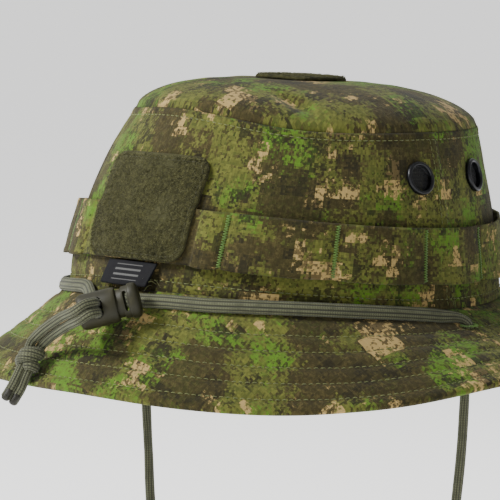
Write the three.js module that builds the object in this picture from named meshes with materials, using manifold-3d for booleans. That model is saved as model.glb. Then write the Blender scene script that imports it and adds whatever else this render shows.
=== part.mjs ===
// A camouflage boonie hat with a chin cord. Millimetres, +Z up.
// The front of the hat faces -Y, its rear +Y, and the wearer's left is +X.
// The origin is the centre of the head opening, level with the seam of crown and brim.

import * as THREE from "three";
import { mergeVertices } from "three/addons/utils/BufferGeometryUtils.js";
import Module from "manifold-3d";

const wasm = await Module();
wasm.setup();

// ---- driving dimensions ----------------------------------------------------

const GAP = 0.3; // between pieces that touch
const CLOTH = 1.6; // crown cloth with its seam allowance and lining

// The seam of crown and brim is an oval. What is sewn on the crown follows a line that dips over
// the ears.
const SEAM_HALF_WIDTH = 93;
const SEAM_HALF_LENGTH = 102;
const SEAM_HEIGHTS = [-4, -3, 1.8, 0, -2.7, 0, 2.7, 0]; // each 45 degrees, from +X
const EAR_DIP = 2.7;

// The upper seam of the crown, where the side panels meet the top.
const TIP_HALF_WIDTH = 76;
const TIP_HALF_LENGTH = 79;
const TIP_FORWARD = 9;
const TIP_HEIGHTS = [80, 78, 80, 73.5, 74.5, 76, 75.5, 76.5]; // each 45 degrees, from +X
const TIP_MEAN_HEIGHT = 77;
const WALL_BOW = 4; // how far the wall swells between its two seams
const WALL_BOW_SWING = 2.2; // more at the rear left, and less at the front right
const WALL_BOW_SIDE = 45; // degrees
const SEAM_ALLOWANCE = 3; // the cloth turned down inside the brim

const DOME_HEIGHT = 16.5;
const DOME_FLAT = 0.3; // the level middle of the top, as a share of its radius
const DOME_MIDDLE = -4; // its place on the Y axis

const BRIM_WIDTH = 57;
const BRIM_DROOPS = [41, 40, 48, 50, 25, 12, 18, 26]; // degrees, each 45 degrees, from +X
const BRIM_CLOTH = 0.9;
const BRIM_FILL = 0.8;
const BRIM_THICK = 2 * BRIM_CLOTH + BRIM_FILL + 2 * GAP;

const SIDE_SEAMS = [-4.5, 184.5]; // degrees
const SWEATBAND_HEIGHT = 32;
const SWEATBAND_THICK = 1.2;

const BAND_LOW = 12; // above the crown and brim seam
const BAND_HIGH = 36;
const BAND_CLOTH = 1.4;
const BAND_SWELL = 2.4; // how far each loop stands off the crown
const BARTACKS = [2, 29, 57, 117.5, 146.5, 173, 196, 223, 251, 279, 307, 335]; // degrees

const REAR_PANEL = { centre: 89.5, halfWidth: 30, low: 12.3, high: 58, thick: 2 };
const TOP_PANEL = { side: 32, corner: 5, thick: 1.8 };
const LABEL = { centre: 90.5, halfAngle: 8, high: 11.4, low: 1.2, thick: 1, standOff: 1.4 };

const VENT_ANGLES = [172.5, 200, 7.5, -20]; // degrees
const VENT_NAMES = ["right_rear", "right_front", "left_rear", "left_front"];
const VENT_UP = 0.74; // share of the way up the wall
const VENT_RADIUS = 7.5;
const VENT_BARREL = 5.2;
const VENT_BORE = 4.7;

const CORD = 4; // diameter
const CORD_HOLE_IN = 14.5; // from the crown seam, down the brim
const CORD_HOLE_ANGLES = { left: -2, right: 182 };
const CORD_HOLE_RADIUS = 3;

const LOCK_CENTRE = new THREE.Vector3(-8.1, 126, -6);
const LOCK_TURN = { roll: 17, pitch: -10, yaw: 128 }; // degrees
const LOCK_LENGTH = 17;
const LOCK_HALF_DEPTH = 6;
const LOCK_HALF_HEIGHT = 7.8;
const LOCK_BORE = { depth: 7.6, height: 11.6, floor: 2.4 };
const PLUNGER_TRAVEL = 2.5;
const PLUNGER_CAP = 7.5;
const CORD_PAIR = 2.25; // each cord's distance from the middle of the pair

const AROUND = 64; // steps round the hat

// ---- colours and finishes --------------------------------------------------

function finish(color, roughness, metalness = 0) {
  return () => new THREE.MeshStandardMaterial({ color, roughness, metalness });
}

const camoCloth = finish(0x6b6a45, 0.95);
const liningCloth = finish(0x56523a, 0.95);
const fillCloth = finish(0xc9c6ba, 0.95);
const loopPile = finish(0x4b4834, 1);
const labelCloth = finish(0x323234, 0.85);
const ventMetal = finish(0x17181b, 0.35, 0.6);
const ventMesh = finish(0x101113, 0.7);
const lockPlastic = finish(0x55523c, 0.45);
const springSteel = finish(0xb9bbbd, 0.35, 0.9);
const cordBraid = finish(0x555844, 0.9);

// ---- the shape of the hat --------------------------------------------------

const toRadians = THREE.MathUtils.degToRad;

// A smooth closed curve through values spaced evenly round the hat.
function around(values, angle) {
  const place = THREE.MathUtils.euclideanModulo(angle / (2 * Math.PI), 1) * values.length;
  const first = Math.floor(place);
  const t = place - first;
  const at = (k) => values[(first + k + values.length) % values.length];
  const startSlope = (at(1) - at(-1)) / 2;
  const endSlope = (at(2) - at(0)) / 2;
  const rise = at(1) - at(0);
  return (
    at(0) +
    startSlope * t +
    (3 * rise - 2 * startSlope - endSlope) * t * t +
    (startSlope + endSlope - 2 * rise) * t * t * t
  );
}

// The level direction out of the crown.
function outward(angle) {
  return new THREE.Vector3(
    Math.cos(angle) / SEAM_HALF_WIDTH,
    Math.sin(angle) / SEAM_HALF_LENGTH,
    0,
  ).normalize();
}

function seamPoint(angle) {
  return new THREE.Vector3(
    SEAM_HALF_WIDTH * Math.cos(angle),
    SEAM_HALF_LENGTH * Math.sin(angle),
    around(SEAM_HEIGHTS, angle),
  );
}

function tipPoint(angle) {
  return new THREE.Vector3(
    TIP_HALF_WIDTH * Math.cos(angle),
    TIP_HALF_LENGTH * Math.sin(angle) - TIP_FORWARD,
    around(TIP_HEIGHTS, angle),
  );
}

// A point on the crown wall: up is 0 at the lower seam and 1 at the upper one.
function wallPoint(angle, up, out = 0) {
  const share = Math.max(up, 0);
  const swell = WALL_BOW + WALL_BOW_SWING * Math.cos(angle - toRadians(WALL_BOW_SIDE));
  const bow = swell * 4 * share * (1 - share);
  const point = seamPoint(angle).lerp(tipPoint(angle), share);
  if (up < 0) point.z += up * tipPoint(angle).z;
  return point.addScaledVector(outward(angle), bow + out);
}

// The same for a height above the lower seam.
function wallAtHeight(angle, height, out = 0) {
  return wallPoint(angle, height / (tipPoint(angle).z - seamPoint(angle).z), out);
}

// The same for a height above the line that dips over the ears.
function trimPoint(angle, height, out) {
  const line = -EAR_DIP * Math.cos(2 * angle);
  return wallAtHeight(angle, height + line - seamPoint(angle).z, out);
}

// A point of the crown's top: share is 0 in the middle and 1 at the seam.
function domePoint(angle, share, inset) {
  const rise = THREE.MathUtils.clamp((share - DOME_FLAT) / (1 - DOME_FLAT), 0, 1);
  const centre = new THREE.Vector3(0, DOME_MIDDLE, 0);
  const point = tipPoint(angle).sub(centre);
  const height = TIP_MEAN_HEIGHT + (point.z - TIP_MEAN_HEIGHT) * rise * rise;
  const dome = (DOME_HEIGHT - inset) * Math.sqrt(1 - rise * rise);
  point.multiplyScalar(share * (1 - inset / TIP_HALF_WIDTH));
  return point.add(centre).setZ(height + dome + GAP);
}

// A point of the brim, share of the way out and deep below its upper face.
function brimPoint(angle, share, deep) {
  const droop = toRadians(around(BRIM_DROOPS, angle));
  const start = (GAP + deep * Math.sin(droop)) / Math.cos(droop);
  const slope = start + (BRIM_WIDTH - start) * share;
  const level = slope * Math.cos(droop) - deep * Math.sin(droop);
  const drop = slope * Math.sin(droop) + deep * Math.cos(droop);
  const point = seamPoint(angle).addScaledVector(outward(angle), level);
  return point.setZ(point.z - drop);
}

// ---- how pieces are made ---------------------------------------------------

// Moves each vertex of a geometry to where place puts it. Place may turn the piece inside out:
// mirrored says that it does, and each face is then turned round.
function bend(geometry, mirrored, place) {
  const position = geometry.getAttribute("position");
  for (let i = 0; i < position.count; i++) {
    const moved = place(position.getX(i), position.getY(i), position.getZ(i));
    position.setXYZ(i, moved.x, moved.y, moved.z);
  }
  geometry.deleteAttribute("normal");
  geometry.deleteAttribute("uv");
  const closed = mergeVertices(geometry, 1e-4);
  if (mirrored) closed.index.array.reverse();
  closed.computeVertexNormals();
  return closed;
}

function vectors(list) {
  return list.map((place) => new THREE.Vector3(...place));
}

// A ring round the hat. Its outline is a closed list of [along, through] pairs.
const RING_RADIUS = 100;

function ring(outline, mirrored, place, steps = AROUND) {
  const points = outline.map(([along, through]) => {
    return new THREE.Vector2(RING_RADIUS + along, through);
  });
  const lathe = new THREE.LatheGeometry([...points, points[0].clone()], steps);
  return bend(lathe, mirrored, (x, y, z) => {
    return place(Math.atan2(x, z), Math.hypot(x, z) - RING_RADIUS, y);
  });
}

// A strip's outline: out along one face through the given places, and back along the other.
function stripOutline(places, near, far) {
  const there = places.map((place) => [place, near]);
  const back = places.map((place) => [place, far]).reverse();
  return [...there, ...back];
}

// A bent slab. Place is given its column's and row's number and its share 0 or 1 of thickness.
function slab(columns, rows, mirrored, place) {
  const box = new THREE.BoxGeometry(columns, rows, 1, columns, rows, 1);
  return bend(box, mirrored, (x, y, z) => {
    return place(Math.round(x + columns / 2), Math.round(y + rows / 2), z + 0.5);
  });
}

// A geometry as a manifold-3d solid, placed by its matrix.
function toSolid(geometry, matrix = new THREE.Matrix4()) {
  const bare = geometry.clone().applyMatrix4(matrix);
  bare.deleteAttribute("normal");
  bare.deleteAttribute("uv");
  const merged = mergeVertices(bare, 1e-4);
  return new wasm.Manifold(
    new wasm.Mesh({
      numProp: 3,
      vertProperties: merged.getAttribute("position").array,
      triVerts: new Uint32Array(merged.index.array),
    }),
  );
}

function fromSolid(solid) {
  const mesh = solid.getMesh();
  const geometry = new THREE.BufferGeometry();
  geometry.setAttribute("position", new THREE.BufferAttribute(mesh.vertProperties, 3));
  geometry.setIndex(new THREE.BufferAttribute(mesh.triVerts, 1));
  geometry.computeVertexNormals();
  return geometry;
}

// What is left of a body after each tool is cut from it.
function cut(body, tools) {
  return fromSolid(tools.reduce((solid, tool) => solid.subtract(tool), toSolid(body)));
}

// A round solid or ring from [radius, height] pairs, standing on +Z.
function turned(profile, steps) {
  const points = profile.map(([radius, height]) => new THREE.Vector2(radius, height));
  return new THREE.LatheGeometry(points, steps).rotateX(Math.PI / 2);
}

// A tube along a smooth curve through points.
function tube(points, diameter, steps, sides = 8) {
  const section = new THREE.Shape();
  for (let i = 0; i < sides; i++) {
    const angle = (2 * Math.PI * (i + 0.5)) / sides;
    const x = (diameter / 2) * Math.cos(angle);
    const y = (diameter / 2) * Math.sin(angle);
    if (i === 0) section.moveTo(x, y);
    else section.lineTo(x, y);
  }
  section.closePath();
  const extrudePath = new THREE.CatmullRomCurve3(points, false, "centripetal");
  return new THREE.ExtrudeGeometry(section, { steps, extrudePath, bevelEnabled: false });
}

// A rectangle with round corners.
function roundedRectangle(width, height, corner, arcSteps) {
  const shape = new THREE.Shape();
  const centres = [
    [width / 2 - corner, height / 2 - corner, 0],
    [corner - width / 2, height / 2 - corner, 90],
    [corner - width / 2, corner - height / 2, 180],
    [width / 2 - corner, corner - height / 2, 270],
  ];
  const points = [];
  for (const [x, y, start] of centres) {
    for (let i = 0; i <= arcSteps; i++) {
      const angle = toRadians(start + (90 * i) / arcSteps);
      points.push(new THREE.Vector2(x + corner * Math.cos(angle), y + corner * Math.sin(angle)));
    }
  }
  return shape.setFromPoints(points);
}

function extruded(shape, depth) {
  return new THREE.ExtrudeGeometry(shape, { depth, bevelEnabled: false, curveSegments: 6 });
}

const hat = new THREE.Group();

function addMesh(name, geometry, material, parent = hat) {
  const mesh = new THREE.Mesh(geometry, material());
  mesh.name = name;
  parent.add(mesh);
  return mesh;
}

// ---- crown -----------------------------------------------------------------

function crownTop() {
  const shares = [DOME_FLAT, 0.58, 0.8, 0.94, 1];
  const under = shares.map((share) => new THREE.Vector2(share, CLOTH));
  const over = shares.map((share) => new THREE.Vector2(share, 0)).reverse();
  const profile = [new THREE.Vector2(0, CLOTH), ...under, ...over, new THREE.Vector2(0, 0)];
  return bend(new THREE.LatheGeometry(profile, AROUND), false, (x, y, z) => {
    return domePoint(Math.atan2(x, z), Math.hypot(x, z), y);
  });
}

// A vent's own frame: its middle on the crown wall, with +Z straight out of the cloth.
function ventMatrix(angle) {
  const step = 0.01;
  const middle = wallPoint(angle, VENT_UP);
  const alongWall = wallPoint(angle + step, VENT_UP).sub(middle);
  const upWall = wallPoint(angle, VENT_UP + step).sub(middle);
  const out = alongWall.clone().cross(upWall).normalize();
  const side = alongWall.normalize();
  const up = out.clone().cross(side);
  return new THREE.Matrix4().makeBasis(side, up, out).setPosition(middle);
}

const VENT_HOLE_DEPTH = 8;

function ventHole(angle) {
  const hole = new THREE.CylinderGeometry(
    VENT_BARREL + GAP,
    VENT_BARREL + GAP,
    VENT_HOLE_DEPTH,
    16,
  ).rotateX(Math.PI / 2);
  return toSolid(hole, ventMatrix(angle));
}

const WALL_ROWS = [-SEAM_ALLOWANCE / TIP_MEAN_HEIGHT, 0, 0.2, 0.4, 0.6, 0.8, 1];
const WALL_COLUMNS = 28;
const SEAM_HALF_GAP = 0.12; // degrees, about half a millimetre of arc in all

function crownWall(startDegrees, endDegrees) {
  const start = toRadians(startDegrees + SEAM_HALF_GAP);
  const end = toRadians(endDegrees - SEAM_HALF_GAP);
  const wall = slab(WALL_COLUMNS, WALL_ROWS.length - 1, false, (column, row, through) => {
    const angle = THREE.MathUtils.lerp(start, end, column / WALL_COLUMNS);
    return wallPoint(angle, WALL_ROWS[row], (through - 1) * CLOTH);
  });
  const holes = VENT_ANGLES.map(toRadians)
    .map((angle) => (angle < start ? angle + 2 * Math.PI : angle))
    .filter((angle) => angle < end)
    .map(ventHole);
  return cut(wall, holes);
}

const [leftSeam, rightSeam] = SIDE_SEAMS;
addMesh("crown_top", crownTop(), camoCloth);
addMesh("crown_rear_panel", crownWall(leftSeam, rightSeam), camoCloth);
addMesh("crown_front_panel", crownWall(rightSeam, leftSeam + 360), camoCloth);

// ---- brim ------------------------------------------------------------------

function cordHole(angle) {
  const share = CORD_HOLE_IN / BRIM_WIDTH;
  const top = brimPoint(angle, share, 0);
  const bottom = brimPoint(angle, share, BRIM_THICK);
  const hole = new THREE.CylinderGeometry(CORD_HOLE_RADIUS, CORD_HOLE_RADIUS, 4 * BRIM_THICK, 12);
  const down = bottom.clone().sub(top).normalize();
  const turn = new THREE.Quaternion().setFromUnitVectors(new THREE.Vector3(0, 1, 0), down);
  const middle = top.lerp(bottom, 0.5);
  const matrix = new THREE.Matrix4().compose(middle, turn, new THREE.Vector3(1, 1, 1));
  return toSolid(hole, matrix);
}

const cordHoles = Object.values(CORD_HOLE_ANGLES).map((angle) => cordHole(toRadians(angle)));

const BRIM_STEPS = 72;

function brimLayer(outline, mirrored) {
  return cut(ring(outline, mirrored, brimPoint, BRIM_STEPS), cordHoles);
}

// The upper cloth turns down over the edge and hides the other two layers.
const LIP = 1 - BRIM_CLOTH / BRIM_WIDTH;
const UNDER_LIP = LIP - GAP / BRIM_WIDTH;
const brimPlaces = [0, 0.25, 0.5, 0.75];
const underPlaces = [...brimPlaces, UNDER_LIP];
const upperOutline = [
  ...[...brimPlaces, 1].map((share) => [share, 0]),
  [1, BRIM_THICK],
  [LIP, BRIM_THICK],
  ...[...brimPlaces, LIP].reverse().map((share) => [share, BRIM_CLOTH]),
];
const fillTop = BRIM_CLOTH + GAP;
const underTop = BRIM_THICK - BRIM_CLOTH;
// The stiffener's outline runs the other way round, so that the facets of faces that meet match.
const fillOutline = stripOutline(underPlaces, fillTop + BRIM_FILL, fillTop);
const undersideOutline = stripOutline(underPlaces, underTop, BRIM_THICK);
addMesh("brim_upper", brimLayer(upperOutline, true), camoCloth);
addMesh("brim_stiffener", brimLayer(fillOutline, false), fillCloth);
addMesh("brim_underside", brimLayer(undersideOutline, true), camoCloth);

// ---- sweatband, foliage band, panels and label -----------------------------

const sweatband = ring(
  stripOutline([-SEAM_ALLOWANCE, 14, SWEATBAND_HEIGHT], 0, SWEATBAND_THICK),
  false,
  (angle, height, through) => wallAtHeight(angle, height, -CLOTH - 1.5 * GAP - through),
);
addMesh("sweatband", sweatband, liningCloth);

const PANEL_HALF_ANGLE = 20; // degrees of the band that the rear panel holds flat

// How far the foliage band stands off the crown at an angle: nothing at a bartack or under the
// rear panel, most between two bartacks.
function bandSwell(angle) {
  const degrees = THREE.MathUtils.euclideanModulo(THREE.MathUtils.radToDeg(angle), 360);
  const panelEdges = [-1, 1].map((side) => REAR_PANEL.centre + side * PANEL_HALF_ANGLE);
  if (degrees > panelEdges[0] && degrees < panelEdges[1]) return 0;
  const stitched = [...BARTACKS, ...panelEdges, BARTACKS[0] + 360].sort((a, b) => a - b);
  const next = stitched.findIndex((place) => place > degrees);
  const start = next > 0 ? stitched[next - 1] : stitched.at(-2) - 360;
  const share = (degrees - start) / (stitched[Math.max(next, 0)] - start);
  return BAND_SWELL * Math.sqrt(Math.max(Math.sin(Math.PI * share), 0));
}

const BAND_STEPS = 96;
const BAND_TOP_SWELL = 0.7; // the share of the swell that its upper edge has
const bandHeights = [BAND_LOW, (BAND_LOW + BAND_HIGH) / 2, BAND_HIGH];

function foliageBand() {
  const outline = stripOutline(bandHeights, 0, BAND_CLOTH);
  const place = (angle, height, through) => {
    const up = (height - BAND_LOW) / (BAND_HIGH - BAND_LOW);
    const swell = bandSwell(angle) * THREE.MathUtils.lerp(1, BAND_TOP_SWELL, up);
    return trimPoint(angle, height, GAP + swell + through);
  };
  return ring(outline, true, place, BAND_STEPS);
}

addMesh("foliage_band", foliageBand(), camoCloth);

// The rear panel's rows, from its lower edge up. It lies on the foliage band and, above the
// band, on the crown.
const PANEL_CORNER = 7;
const PANEL_COLUMNS = 8;
const panelHeight = REAR_PANEL.high - REAR_PANEL.low;
const overBand = BAND_HIGH + GAP - REAR_PANEL.low;
const cornerRows = [0, 0.9, 3, PANEL_CORNER];
const PANEL_ROWS = [
  ...cornerRows,
  overBand / 2 + 2,
  overBand,
  overBand + 3,
  overBand + 9,
  ...cornerRows.map((row) => panelHeight - row).reverse(),
];

function rearPanel() {
  return slab(PANEL_COLUMNS, PANEL_ROWS.length - 1, false, (column, row, through) => {
    const height = PANEL_ROWS[row];
    const fromEdge = Math.min(height, panelHeight - height, PANEL_CORNER);
    const inset = PANEL_CORNER - Math.sqrt(PANEL_CORNER ** 2 - (PANEL_CORNER - fromEdge) ** 2);
    const centre = toRadians(REAR_PANEL.centre);
    const radius = trimPoint(centre, REAR_PANEL.low + height, 0).y;
    const side = (2 * column) / PANEL_COLUMNS - 1;
    const angle = centre + (side * (REAR_PANEL.halfWidth - inset)) / radius;
    const rest = height <= overBand ? BAND_CLOTH + 2.5 * GAP : 1.5 * GAP;
    return trimPoint(angle, REAR_PANEL.low + height, rest + through * REAR_PANEL.thick);
  });
}

addMesh("rear_loop_panel", rearPanel(), loopPile);

const topPanelShape = roundedRectangle(TOP_PANEL.side, TOP_PANEL.side, TOP_PANEL.corner, 3);
const topPanel = addMesh("top_loop_panel", extruded(topPanelShape, TOP_PANEL.thick), loopPile);
topPanel.position.set(0, DOME_MIDDLE, TIP_MEAN_HEIGHT + DOME_HEIGHT + 2 * GAP);

const LABEL_COLUMNS = 4;
const LABEL_ROWS = 3;

function labelTag() {
  return slab(LABEL_COLUMNS, LABEL_ROWS, false, (column, row, through) => {
    const side = (2 * column) / LABEL_COLUMNS - 1;
    const up = row / LABEL_ROWS;
    const angle = toRadians(LABEL.centre + side * LABEL.halfAngle);
    const height = THREE.MathUtils.lerp(LABEL.low, LABEL.high, up);
    const out = 2 * GAP + LABEL.standOff * (1 - up) + through * LABEL.thick;
    return trimPoint(angle, height, out);
  });
}

addMesh("label_tag", labelTag(), labelCloth);

// ---- vents -----------------------------------------------------------------

// The rim's barrel goes through the cloth and is rolled over a washer inside the crown.
const RIM_SEAT = 0.35; // the rim's back above the cloth at the vent's middle
const WASHER_TOP = -2.3;
const WASHER_THICK = 0.6;
const ROLL_TOP = WASHER_TOP - WASHER_THICK - GAP;
const ROLL_THICK = 0.5;
const rimProfile = [
  [VENT_BORE, ROLL_TOP - ROLL_THICK],
  [VENT_BARREL + 1.1, ROLL_TOP - ROLL_THICK],
  [VENT_BARREL + 1.1, ROLL_TOP],
  [VENT_BARREL, ROLL_TOP],
  [VENT_BARREL, RIM_SEAT],
  [VENT_RADIUS, RIM_SEAT],
  [VENT_RADIUS - 0.4, RIM_SEAT + 0.9],
  [VENT_RADIUS - 1.4, RIM_SEAT + 1.3],
  [VENT_BORE, RIM_SEAT + 0.5],
  [VENT_BORE, ROLL_TOP - ROLL_THICK],
];
const washerProfile = [
  [VENT_BARREL + GAP, WASHER_TOP - WASHER_THICK],
  [VENT_RADIUS, WASHER_TOP - WASHER_THICK],
  [VENT_RADIUS, WASHER_TOP],
  [VENT_BARREL + GAP, WASHER_TOP],
  [VENT_BARREL + GAP, WASHER_TOP - WASHER_THICK],
];
const MESH_HOLES = 6;
const MESH_HOLE_RING = 2.6;
const MESH_HOLE_RADIUS = 0.8;
const MESH_THICK = 0.5;
const MESH_DEPTH = -1.2;

function ventScreen() {
  const disc = new THREE.Shape().absarc(0, 0, VENT_BORE - GAP, 0, 2 * Math.PI);
  for (let i = 0; i < MESH_HOLES; i++) {
    const angle = (2 * Math.PI * i) / MESH_HOLES;
    const x = MESH_HOLE_RING * Math.cos(angle);
    const y = MESH_HOLE_RING * Math.sin(angle);
    disc.holes.push(new THREE.Path().absarc(x, y, MESH_HOLE_RADIUS, 0, 2 * Math.PI, true));
  }
  const screen = { depth: MESH_THICK, bevelEnabled: false, curveSegments: 3 };
  return new THREE.ExtrudeGeometry(disc, screen).translate(0, 0, MESH_DEPTH);
}

VENT_ANGLES.forEach((angle, i) => {
  const vent = new THREE.Group();
  vent.applyMatrix4(ventMatrix(toRadians(angle)));
  hat.add(vent);
  addMesh(`vent_rim_${VENT_NAMES[i]}`, turned(rimProfile, 16), ventMetal, vent);
  addMesh(`vent_washer_${VENT_NAMES[i]}`, turned(washerProfile, 12), ventMetal, vent);
  addMesh(`vent_screen_${VENT_NAMES[i]}`, ventScreen(), ventMesh, vent);
});

// ---- cord lock -------------------------------------------------------------

// The lock's own frame: +X out of its cord hole, +Y along the plunger towards its cap.
const lock = new THREE.Group();
lock.position.copy(LOCK_CENTRE);
lock.rotation.set(
  toRadians(LOCK_TURN.roll),
  toRadians(LOCK_TURN.pitch),
  toRadians(LOCK_TURN.yaw),
  "ZYX",
);
hat.add(lock);
lock.updateMatrix();

function inLock(x, y, z) {
  return new THREE.Vector3(x, y, z).applyMatrix4(lock.matrix);
}

const LOCK_LOW = -LOCK_LENGTH / 2;
const LOCK_HIGH = LOCK_LENGTH / 2;

// The body is an oval barrel with rounded ends.
function lockBarrel() {
  const round = [
    [0, LOCK_LOW],
    [0.78, LOCK_LOW],
    [0.93, LOCK_LOW + 0.6],
    [1, LOCK_LOW + 2],
    [1, LOCK_HIGH - 1],
    [0.95, LOCK_HIGH],
    [0, LOCK_HIGH],
  ];
  const points = round.map(([radius, along]) => new THREE.Vector2(radius, along));
  return new THREE.LatheGeometry(points, 24).scale(LOCK_HALF_DEPTH, 1, LOCK_HALF_HEIGHT);
}

// A slot for the pair of cords: round ended, its length across the pair.
function cordSlot(halfAlong, halfUp, corner, startAlong, depth) {
  const slot = roundedRectangle(2 * halfAlong, 2 * halfUp, corner, 4);
  const cutter = extruded(slot, depth).translate(0, 0, -depth / 2);
  // The slot is drawn in X and Y and cut along Z: turn it to lie along the plunger and up.
  return cutter.rotateY(Math.PI / 2).rotateX(Math.PI / 2).translate(0, startAlong, 0);
}

const CORD_CLEAR = CORD / 2 + GAP;
const SLOT_HALF_ALONG = CORD_CLEAR + 0.4;
const SLOT_HALF_UP = CORD_PAIR + CORD_CLEAR;
const boreFloor = LOCK_LOW + LOCK_BORE.floor;

function lockBody() {
  const bore = new THREE.BoxGeometry(LOCK_BORE.depth, LOCK_LENGTH, LOCK_BORE.height);
  bore.translate(0, boreFloor + LOCK_LENGTH / 2, 0);
  const slot = cordSlot(SLOT_HALF_ALONG, SLOT_HALF_UP, 2.6, 0, 4 * LOCK_HALF_DEPTH);
  return cut(lockBarrel(), [toSolid(bore), toSolid(slot)]);
}

const PLUNGER_DEPTH = LOCK_BORE.depth - 2 * GAP;
const PLUNGER_HEIGHT = LOCK_BORE.height - 2 * GAP;
const SPRING_ROOM = 4.2; // below the plunger at rest
const capLow = LOCK_HIGH + PLUNGER_TRAVEL + GAP;

// The stem and its cap, with a slot long enough for the cords at both ends of its travel.
function plunger() {
  const stemLow = boreFloor + SPRING_ROOM;
  const stemLength = capLow + 1 - stemLow;
  const stem = new THREE.BoxGeometry(PLUNGER_DEPTH, stemLength, PLUNGER_HEIGHT);
  stem.translate(0, stemLow + stemLength / 2, 0);
  const capRound = [
    [0, capLow],
    [0.95, capLow],
    [1, capLow + 0.8],
    [1, capLow + PLUNGER_CAP - 2.4],
    [0.94, capLow + PLUNGER_CAP - 0.9],
    [0.8, capLow + PLUNGER_CAP],
    [0, capLow + PLUNGER_CAP],
  ];
  const points = capRound.map(([radius, along]) => new THREE.Vector2(radius, along));
  const cap = new THREE.LatheGeometry(points, 24).scale(LOCK_HALF_DEPTH, 1, LOCK_HALF_HEIGHT);
  const middle = PLUNGER_TRAVEL / 2;
  const slot = cordSlot(CORD_CLEAR + middle, SLOT_HALF_UP - 0.1, 0.6, middle, 4 * LOCK_HALF_DEPTH);
  const joined = toSolid(stem).add(toSolid(cap)).subtract(toSolid(slot));
  return fromSolid(joined);
}

const SPRING_WIRE = 0.7;
const SPRING_RADIUS = 2.4;
const SPRING_TURNS = 3;

function lockSpring() {
  const low = boreFloor + GAP + SPRING_WIRE / 2;
  const high = boreFloor + SPRING_ROOM - GAP - SPRING_WIRE / 2;
  const stepsPerTurn = 10;
  const points = [];
  for (let i = 0; i <= SPRING_TURNS * stepsPerTurn; i++) {
    const turn = (2 * Math.PI * i) / stepsPerTurn;
    const along = THREE.MathUtils.lerp(low, high, i / (SPRING_TURNS * stepsPerTurn));
    const x = SPRING_RADIUS * Math.cos(turn);
    const z = SPRING_RADIUS * Math.sin(turn);
    points.push(new THREE.Vector3(x, along, z));
  }
  return tube(points, SPRING_WIRE, SPRING_TURNS * stepsPerTurn, 6);
}

addMesh("cord_lock_body", lockBody(), lockPlastic, lock);
addMesh("cord_lock_plunger", plunger(), lockPlastic, lock);
addMesh("cord_lock_spring", lockSpring(), springSteel, lock);

// ---- chin cord -------------------------------------------------------------

// A point of the cord as it lies on the brim: degrees round the hat, and millimetres from the
// crown seam down the slope.
const CORD_LIFT = CORD / 2 + GAP;

function onBrim(degrees, slope) {
  return brimPoint(toRadians(degrees), slope / BRIM_WIDTH, -CORD_LIFT);
}

function inHole(side, deep) {
  return brimPoint(toRadians(CORD_HOLE_ANGLES[side]), CORD_HOLE_IN / BRIM_WIDTH, deep);
}

const HOLE_MIDDLE = BRIM_THICK / 2;

// Each run comes up through its hole in the brim and round the foot of the crown.
const RIGHT_RUN = [
  [180.6, 12],
  [175, 8.6],
  [166, 6.2],
  [152, 5.6],
  [139, 6],
  [127, 6.8],
  [116, 8],
  [106, 8.4],
];
const LEFT_RUN = [
  [-0.6, 10.5],
  [5, 6.8],
  [14, 4.4],
  [28, 3.4],
  [41, 3.2],
  [54, 3.2],
  [66, 3.6],
  [76, 4.6],
];

// The pair of tails after the lock: the middle of the pair, and how the two lie apart.
const TAILS = [
  [-13.3, 133.8, -4.7],
  [-12.9, 137.5, -5.4],
  [-10.2, 139.9, -8],
  [-1, 138.1, -11.3],
  [7.2, 136.6, -15.1],
  [13.5, 136, -18.7],
];
const KNOT_CENTRE = new THREE.Vector3(19.8, 139, -30.1);
const KNOT_AXIS = new THREE.Vector3(0.1, 0.43, -0.9).normalize();
const KNOT_SIDE = new THREE.Vector3(0.64, 0.61, 0.47);
const KNOT_HALF_LENGTH = 6.5;
const TAIL_ENDS = [
  [20.6, 144.8, -41.5],
  [21.2, 146.4, -44.5],
  [22.6, 147.4, -47.5],
];
const STRAIGHT_STOPS = [-8.5, -5.5, 0, 5, 8]; // the cords run straight through the lock

// A pair of cords beside a line of middle points: each leans towards its own spread direction.
function pairLine(middles, spreads, side) {
  return middles.map((middle, i) => {
    const before = middles[Math.max(i - 1, 0)];
    const after = middles[Math.min(i + 1, middles.length - 1)];
    const onward = after.clone().sub(before).normalize();
    const apart = spreads[i].clone().addScaledVector(onward, -spreads[i].dot(onward)).normalize();
    return middle.clone().addScaledVector(apart, side * CORD_PAIR);
  });
}

function alongKnot(distance) {
  return KNOT_CENTRE.clone().addScaledVector(KNOT_AXIS, distance);
}

const KNOT_FACE = KNOT_HALF_LENGTH + GAP;

function tailPoints(side) {
  const lockUp = inLock(0, 0, 1).sub(LOCK_CENTRE);
  const straight = STRAIGHT_STOPS.map((out) => inLock(out, 0, 0));
  const bent = vectors(TAILS);
  const arrival = [-KNOT_FACE - 3, -KNOT_FACE - 1, -KNOT_FACE].map(alongKnot);
  const middles = [...straight, ...bent, ...arrival];
  const spreads = middles.map((middle, i) => {
    const share = THREE.MathUtils.clamp((i - straight.length + 1) / (bent.length + 1), 0, 1);
    return lockUp.clone().lerp(KNOT_SIDE, share);
  });
  return pairLine(middles, spreads, side);
}

// The turn that each run makes between the crown and the back of the lock.
const RIGHT_TURN = [
  [-17, 106.8, -2.2],
  [-7.6, 108.9, -2.5],
  [-2.4, 111.4, -2.8],
  [-0.4, 115, -4],
];
const LEFT_TURN = [
  [14.5, 108.8, -2.6],
  [8, 112.6, -5.9],
  [3, 116.2, -8.4],
];

const rightCord = [
  inHole("right", HOLE_MIDDLE - GAP / 2),
  inHole("right", -1),
  ...RIGHT_RUN.map(([degrees, slope]) => onBrim(degrees, slope)),
  ...vectors(RIGHT_TURN),
  ...tailPoints(1),
];
const leftCord = [
  inHole("left", HOLE_MIDDLE - GAP / 2),
  inHole("left", -1),
  ...LEFT_RUN.map(([degrees, slope]) => onBrim(degrees, slope)),
  ...vectors(LEFT_TURN),
  ...tailPoints(-1),
];

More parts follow.
